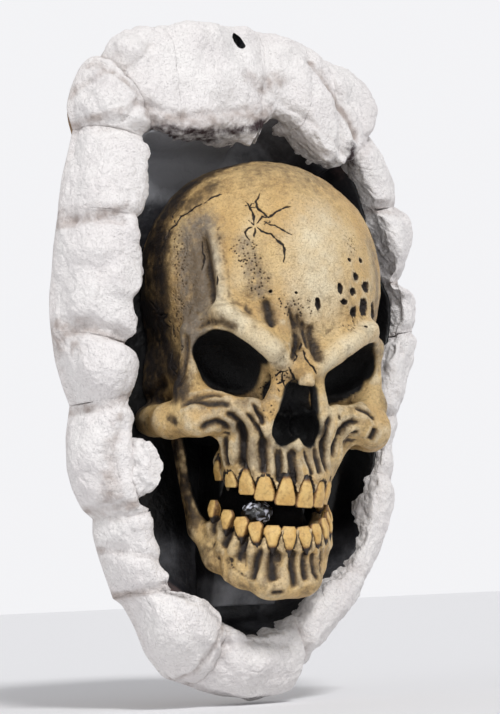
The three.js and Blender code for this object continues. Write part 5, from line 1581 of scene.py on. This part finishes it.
# %% Jaw
JAW_BOX, JAW_STEP = ((-62, -30, -140), (62, 46, -16)), 1.15
JAW_ARCH_MIDDLE = (0.0, 22.0)
jaw_points, jaw_triangles = surface_net(jaw_field, *JAW_BOX, JAW_STEP)
jaw_points = onto_surface(jaw_field, jaw_points)
normals = slope_of(jaw_field, jaw_points)
move, fold_wash_and_shade, fold_shade = carve_folds(
    jaw_points, jaw_field, JAW_FOLDS,
    ease=0.15, groove=(1.3, 1.1), ridge=(0.3, 2.1), paint=(1.1, 1))
gums = gum_line(jaw_points, sockets["lower"])
move -= 0.7 * smooth(1.7, 0.5, gums)
move += layered(jaw_points, (0.4, 12, 53), (0.2, 4.5, 55))
inwards = np.array(JAW_ARCH_MIDDLE) - jaw_points[:, :2]
inwards /= np.linalg.norm(inwards, axis=1, keepdims=True)
inner_side = smooth(0.35, 0.65, np.einsum("ij,ij->i", inwards, normals[:, :2]))
mottle = 0.7 + layered(jaw_points, (0.6, 7, 58), (0.3, 2, 61))
mottle += 0.4 * noise(jaw_points * (1, 1, 0.4), 2.6, 59)
ramus = smooth(20, 34, jaw_points[:, 1]) * smooth(-104, -92, jaw_points[:, 2])
raised = jaw_points + normals * move[:, None]
fine_groove = sunk(raised, jaw_triangles, normals, 10)
broad_groove = sunk(raised, jaw_triangles, normals, 50)
# Dark wash and painted shade: folds, the gum line, the ramus, towards the rear, hollows and grooves.
wash_and_shade_mask = strongest(
    fold_wash_and_shade,
    0.9 * smooth(1.5, 0.7, gums),
    0.85 * ramus * np.clip(0.8 * mottle + 0.2, 0.25, 1),
    0.5 * smooth(8, 20, jaw_points[:, 1]) * np.clip(mottle - 0.1, 0, 1),
    0.3 * smooth(0.3, 0.9, mottle - 0.2),
    0.8 * smooth(0.4, 0.85, hidden(jaw_field, jaw_points, normals)),
    0.75 * smooth(0.1, 0.7, fine_groove))
# Painted shade round the folds, and grey mottling.
grey_and_shade_mask = np.maximum(fold_shade, 0.15 * np.clip(mottle, 0, 1))
# Cream dry brush on the ridges, partly painted highlight.
dry_brush_and_highlight_mask = strongest(
    0.4 * smooth(0.05, 0.5, -fine_groove), 0.25 * smooth(0.6, 2.4, -broad_groove))
jaw_masks = {"wash_and_shade": wash_and_shade_mask, "dry_brush_and_highlight": dry_brush_and_highlight_mask, "grey_and_shade": grey_and_shade_mask, "black": inner_side}
new_piece("jaw_bone", to_world(raised), jaw_triangles, bone, ["lower_jaw"], jaw_masks)
print("jaw:", len(jaw_triangles), "triangles")

# %% Near-black mass in the mouth, black foam that is also painted shade, and the knob of black foam with painted glints that shows at its left
MOUTH_BALLS = [(0, -34, -84, 26, 18, 34, 0, 0), (0, -15, -85, 20, 19, 13, 0, 8),
               (0, -24, -98, 21, 17, 10, 0, 8)]
KNOB_BALLS = [(-17, 0, -82.5, 9, 8, 7.4, 0, 0)]
MOUTH_BOX, KNOB_BOX = ((-32, -14, -124), (32, 56, -44)), ((-28, -12, -92), (-6, 10, -73))


def rough_mass(balls, box, step, *rows):
    """A surface net round balls that aren't mirrored, moved along its normal by noise."""
    def field(p):
        return joined(p[..., 0], p[..., 1], p[..., 2], balls)

    points, triangles = surface_net(field, *box, step)
    return points + slope_of(field, points) * layered(points, *rows)[:, None], triangles


points, triangles = rough_mass(KNOB_BALLS, KNOB_BOX, 0.7, (0.7, 3.2, 91), (0.4, 1.6, 93))
# Bright painted glints on the glossy knob.
painted_glints = smooth(0.05, 0.45, noise(points, 1.5, 95)) * smooth(-0.35, 0.2, noise(points, 6, 97))
new_piece("mouth_knob", to_world(points), triangles, gloss, [], {"painted_glints": painted_glints})
# A near-black mass fills the mouth: black foam, and painted shade for the dark inside of the mouth.
points, triangles = rough_mass(MOUTH_BALLS, MOUTH_BOX, 1.6, (1.4, 9, 75), (0.8, 3.4, 77))
new_piece("mouth_filling", to_world(points), triangles, mouth_black_and_shade, [])

# %% [markdown]
# ## The black hole and the stump of the neck
# Behind the ring stands a dish with a flared wall, sprayed black. The stump of the neck runs down
# from the skull and stops near the lower rim. Both have the same paint, with a painted sheen and
# painted deep shade lower in the hole.

# %% Recess
PATH_TAIL = 14
OUTLINE_EASE = 4.0
LIP_DEPTH, DISH_FLOOR, DISH_REAR = 32.3, 8.3, 5.3
FLOOR_INSET, FLOOR_RINGS = 18.0, 46
# The dish's section: how far inside the rim, and how far in front of the wall.
DISH_PROFILE = [
    (-2.0, DISH_REAR), (-3.0, 18.0), (-3.5, LIP_DEPTH - 1.5), (-3.0, LIP_DEPTH), (-1.6, LIP_DEPTH),
    (0.6, LIP_DEPTH - 4.0), (2.0, 25.0), (4.2, 19.0), (6.0, 14.0), (8.5, 10.5),
    (12.0, DISH_FLOOR + 0.4), (FLOOR_INSET, DISH_FLOOR)]


def closed_path(outline, step):
    """A closed outline resampled evenly and eased, by the same steps as an open one."""
    wrapped = np.concatenate([outline[-PATH_TAIL:], outline, outline[:PATH_TAIL]])
    path, places = along_path(np.concatenate([wrapped, wrapped], 1), step, OUTLINE_EASE)
    lengths = np.concatenate([[0], np.cumsum(np.linalg.norm(np.diff(wrapped, axis=0), axis=1))])
    start, stop = lengths[PATH_TAIL], lengths[PATH_TAIL + len(outline)]
    count = int((stop - start) / step)
    at = start + (stop - start) * np.arange(count) / count
    return np.stack([np.interp(at, places, column) for column in path[:, :2].T], 1)


def ring_at(path, inset, depth):
    """The path moved towards the middle of the ring by a length, so far in front of the wall."""
    spoke = path - RING_MIDDLE
    length = np.linalg.norm(spoke, axis=1, keepdims=True)
    return np.insert(RING_MIDDLE + spoke * (1 - inset / length), 1, -depth, axis=1)


rim = closed_path(ring_rulings()[:, :2], 1.4)
profile, _ = along_path(np.array(DISH_PROFILE), 1.4, 0.8)
rings = [ring_at(rim, inset, depth) for inset, depth in profile]
floor_edge = ring_at(rim, FLOOR_INSET, DISH_FLOOR)
floor_middle = np.insert(RING_MIDDLE, 1, -DISH_FLOOR)
for share in np.linspace(0, 1, FLOOR_RINGS)[1:-1]:
    rings.append(floor_edge * (1 - share) + floor_middle * share)
dish = np.stack(rings)
where = dish.reshape(-1, 3)
ragged = layered(where, (1.1, 22, 61), (0.5, 8, 63), (0.25, 3.5, 65)) * smooth(6, 9, -where[:, 1])
dish[..., 1] -= 0.8 * ragged.reshape(dish.shape[:2])
dish[..., 1] = np.minimum(dish[..., 1], -DISH_REAR - 0.1)
points, triangles = closed_tube(dish)
side, forward, level = points[:, 0], -points[:, 1], points[:, 2]
dust = 0.5 * smooth(0.3, 0.9, noise(points, 12, 67)) * smooth(10, 30, forward)
crust = smooth(-30, -50, side) * smooth(-285, -300, level) * smooth(9.5, 14, forward)
dust = np.maximum(dust, crust * (0.7 + 0.6 * noise(points, 4, 69)))
# A painted sheen: lighter grey on the upper part of the dish, most to the left, and faintly at the
# bottom.
painted_sheen = smooth(-110, -85, level) * smooth(60, -20, side + 14 * noise(points, 30, 66))
painted_sheen = np.maximum(painted_sheen, 0.22 * smooth(-285, -310, level))
# Painted deep shade in the lower part of the dish, fading out at its very bottom.
deep_shade = smooth(-105, -135, level) * smooth(-312, -290, level)
new_piece("hole_lining", points, triangles, dark_paint_and_shade, ["recess_liner"],
          {"dust": dust, "painted_sheen": painted_sheen, "deep_shade": deep_shade})
print("recess:", len(triangles), "triangles")

# %% Stump of the neck
# Share of the height, share of the reach, share of the half width.
NECK_ROWS = [(0, 0.38, 0.96), (0.3, 0.55, 1), (0.6, 0.62, 0.85), (1, 0.5, 0.7)]
NECK_BOTTOM, NECK_TOP, NECK_HALF, NECK_REACH, NECK_MIDDLE = -343.0, -240.0, 24.0, 44.0, -4.0
NECK_RINGS = 90
NECK_SECTION = [(-1, 0), (1, 0), (1, 0.86), (0.86, 1), (-0.86, 1), (-1, 0.86), (-1, 0)]
SECTION_HALF = (24, 40)
up = np.linspace(0, 1, NECK_RINGS)[:, None]
heights, reaches, halves = zip(*NECK_ROWS)
reach = NECK_REACH * np.interp(up, heights, reaches)
half = NECK_HALF * np.interp(up, heights, halves)
outline, _ = along_path(np.array(NECK_SECTION) * SECTION_HALF, 1.2, 1.6)
outline = np.clip(outline / SECTION_HALF, (-1, 0), (1, 1))
neck = np.stack(np.broadcast_arrays(
    NECK_MIDDLE + half * outline[:, 0], -FLOOR_DEPTH - reach * outline[:, 1],
    NECK_BOTTOM + (NECK_TOP - NECK_BOTTOM) * up), -1)
push = layered(neck.reshape(-1, 3), (0.8, 18, 71), (0.35, 6, 73))
neck = neck + grid_normals(neck) * push.reshape(neck.shape[:2])[..., None]
neck[..., 1] = np.minimum(neck[..., 1], -FLOOR_DEPTH)
points, triangles = closed_tube(neck)
level = points[:, 2]
# A painted sheen low on the neck, and painted deep shade above it, up under the jaw.
painted_sheen = 0.6 * smooth(-318, -332, level) * (0.8 + 0.4 * noise(points, 9, 99))
new_piece("neck_block", points, triangles, dark_paint_and_shade, ["neck_stump"],
          {"painted_sheen": painted_sheen, "deep_shade": smooth(-332, -318, level)})

# %% Rear panel
# Its edge is rounded: how far inside the ring's outer edge, and how far in front of the wall.
PANEL_PROFILE = [(40, 5), (20, 5), (5, 5), (3, 4.9), (3.2, 4), (4.6, 2.5), (6.4, 1), (7.8, 0.2),
                 (9.5, 0), (22, 0), (40, 0)]
edge = closed_path(ring_rulings()[:, 2:], 1.6)
points, triangles = closed_tube(np.stack([ring_at(edge, *row) for row in PANEL_PROFILE]))
pierce(new_piece("panel_back", points, triangles, raw_foam, ["rear_panel"]))

# %% [markdown]
# ## Stage and light
# A pale floor, a pale surround that only the camera and reflections see at full strength, a large
# soft lamp from the upper left front and a weaker one from the left.

# %% Stage, world and lamps
FLOOR_LEVEL, FLOOR_HALF = -0.402, 6.0
floor_material, tree, shader = new_material("pale_floor", 0.9, 0.2)
shader.inputs["Base Color"].default_value = linear(236, 236, 238)
floor_mesh = bpy.data.meshes.new("floor")
corners = [(-FLOOR_HALF, -FLOOR_HALF), (FLOOR_HALF, -FLOOR_HALF), (FLOOR_HALF, FLOOR_HALF),
           (-FLOOR_HALF, FLOOR_HALF)]
floor_mesh.from_pydata([(*corner, FLOOR_LEVEL) for corner in corners], [], [(0, 1, 2, 3)])
floor_mesh.materials.append(floor_material)
floor = bpy.data.objects.new("floor", floor_mesh)
bpy.context.scene.collection.objects.link(floor)

world = bpy.data.worlds.new("studio")
bpy.context.scene.world = world
world.use_nodes = True
tree = Tree(world.node_tree)
ray = tree.add("ShaderNodeLightPath")
glossy, through = ray.outputs["Is Glossy Ray"], ray.outputs["Is Transmission Ray"]
seen = tree.maths("MAXIMUM", ray.outputs["Is Camera Ray"], tree.maths("MAXIMUM", glossy, through))
surround = tree.mix(seen, (0.46, 0.46, 0.47, 1), (0.9, 0.9, 0.92, 1))
tree.feed(world.node_tree.nodes["Background"].inputs["Color"], surround)


def soft_lamp(name, azimuth, elevation, strength, size):
    """A sun lamp with a wide disc, which lights like a large soft box far away."""
    lamp = bpy.data.lights.new(name, "SUN")
    lamp.energy = strength
    lamp.angle = radians(size)
    holder = bpy.data.objects.new(name, lamp)
    bpy.context.scene.collection.objects.link(holder)
    holder.rotation_euler = (radians(90 - elevation), 0, radians(azimuth))


soft_lamp("key_light", -14, 42, 1.9, 12)
soft_lamp("fill_light", -80, 14, 0.65, 40)
bpy.context.scene.view_settings.view_transform = "Standard"
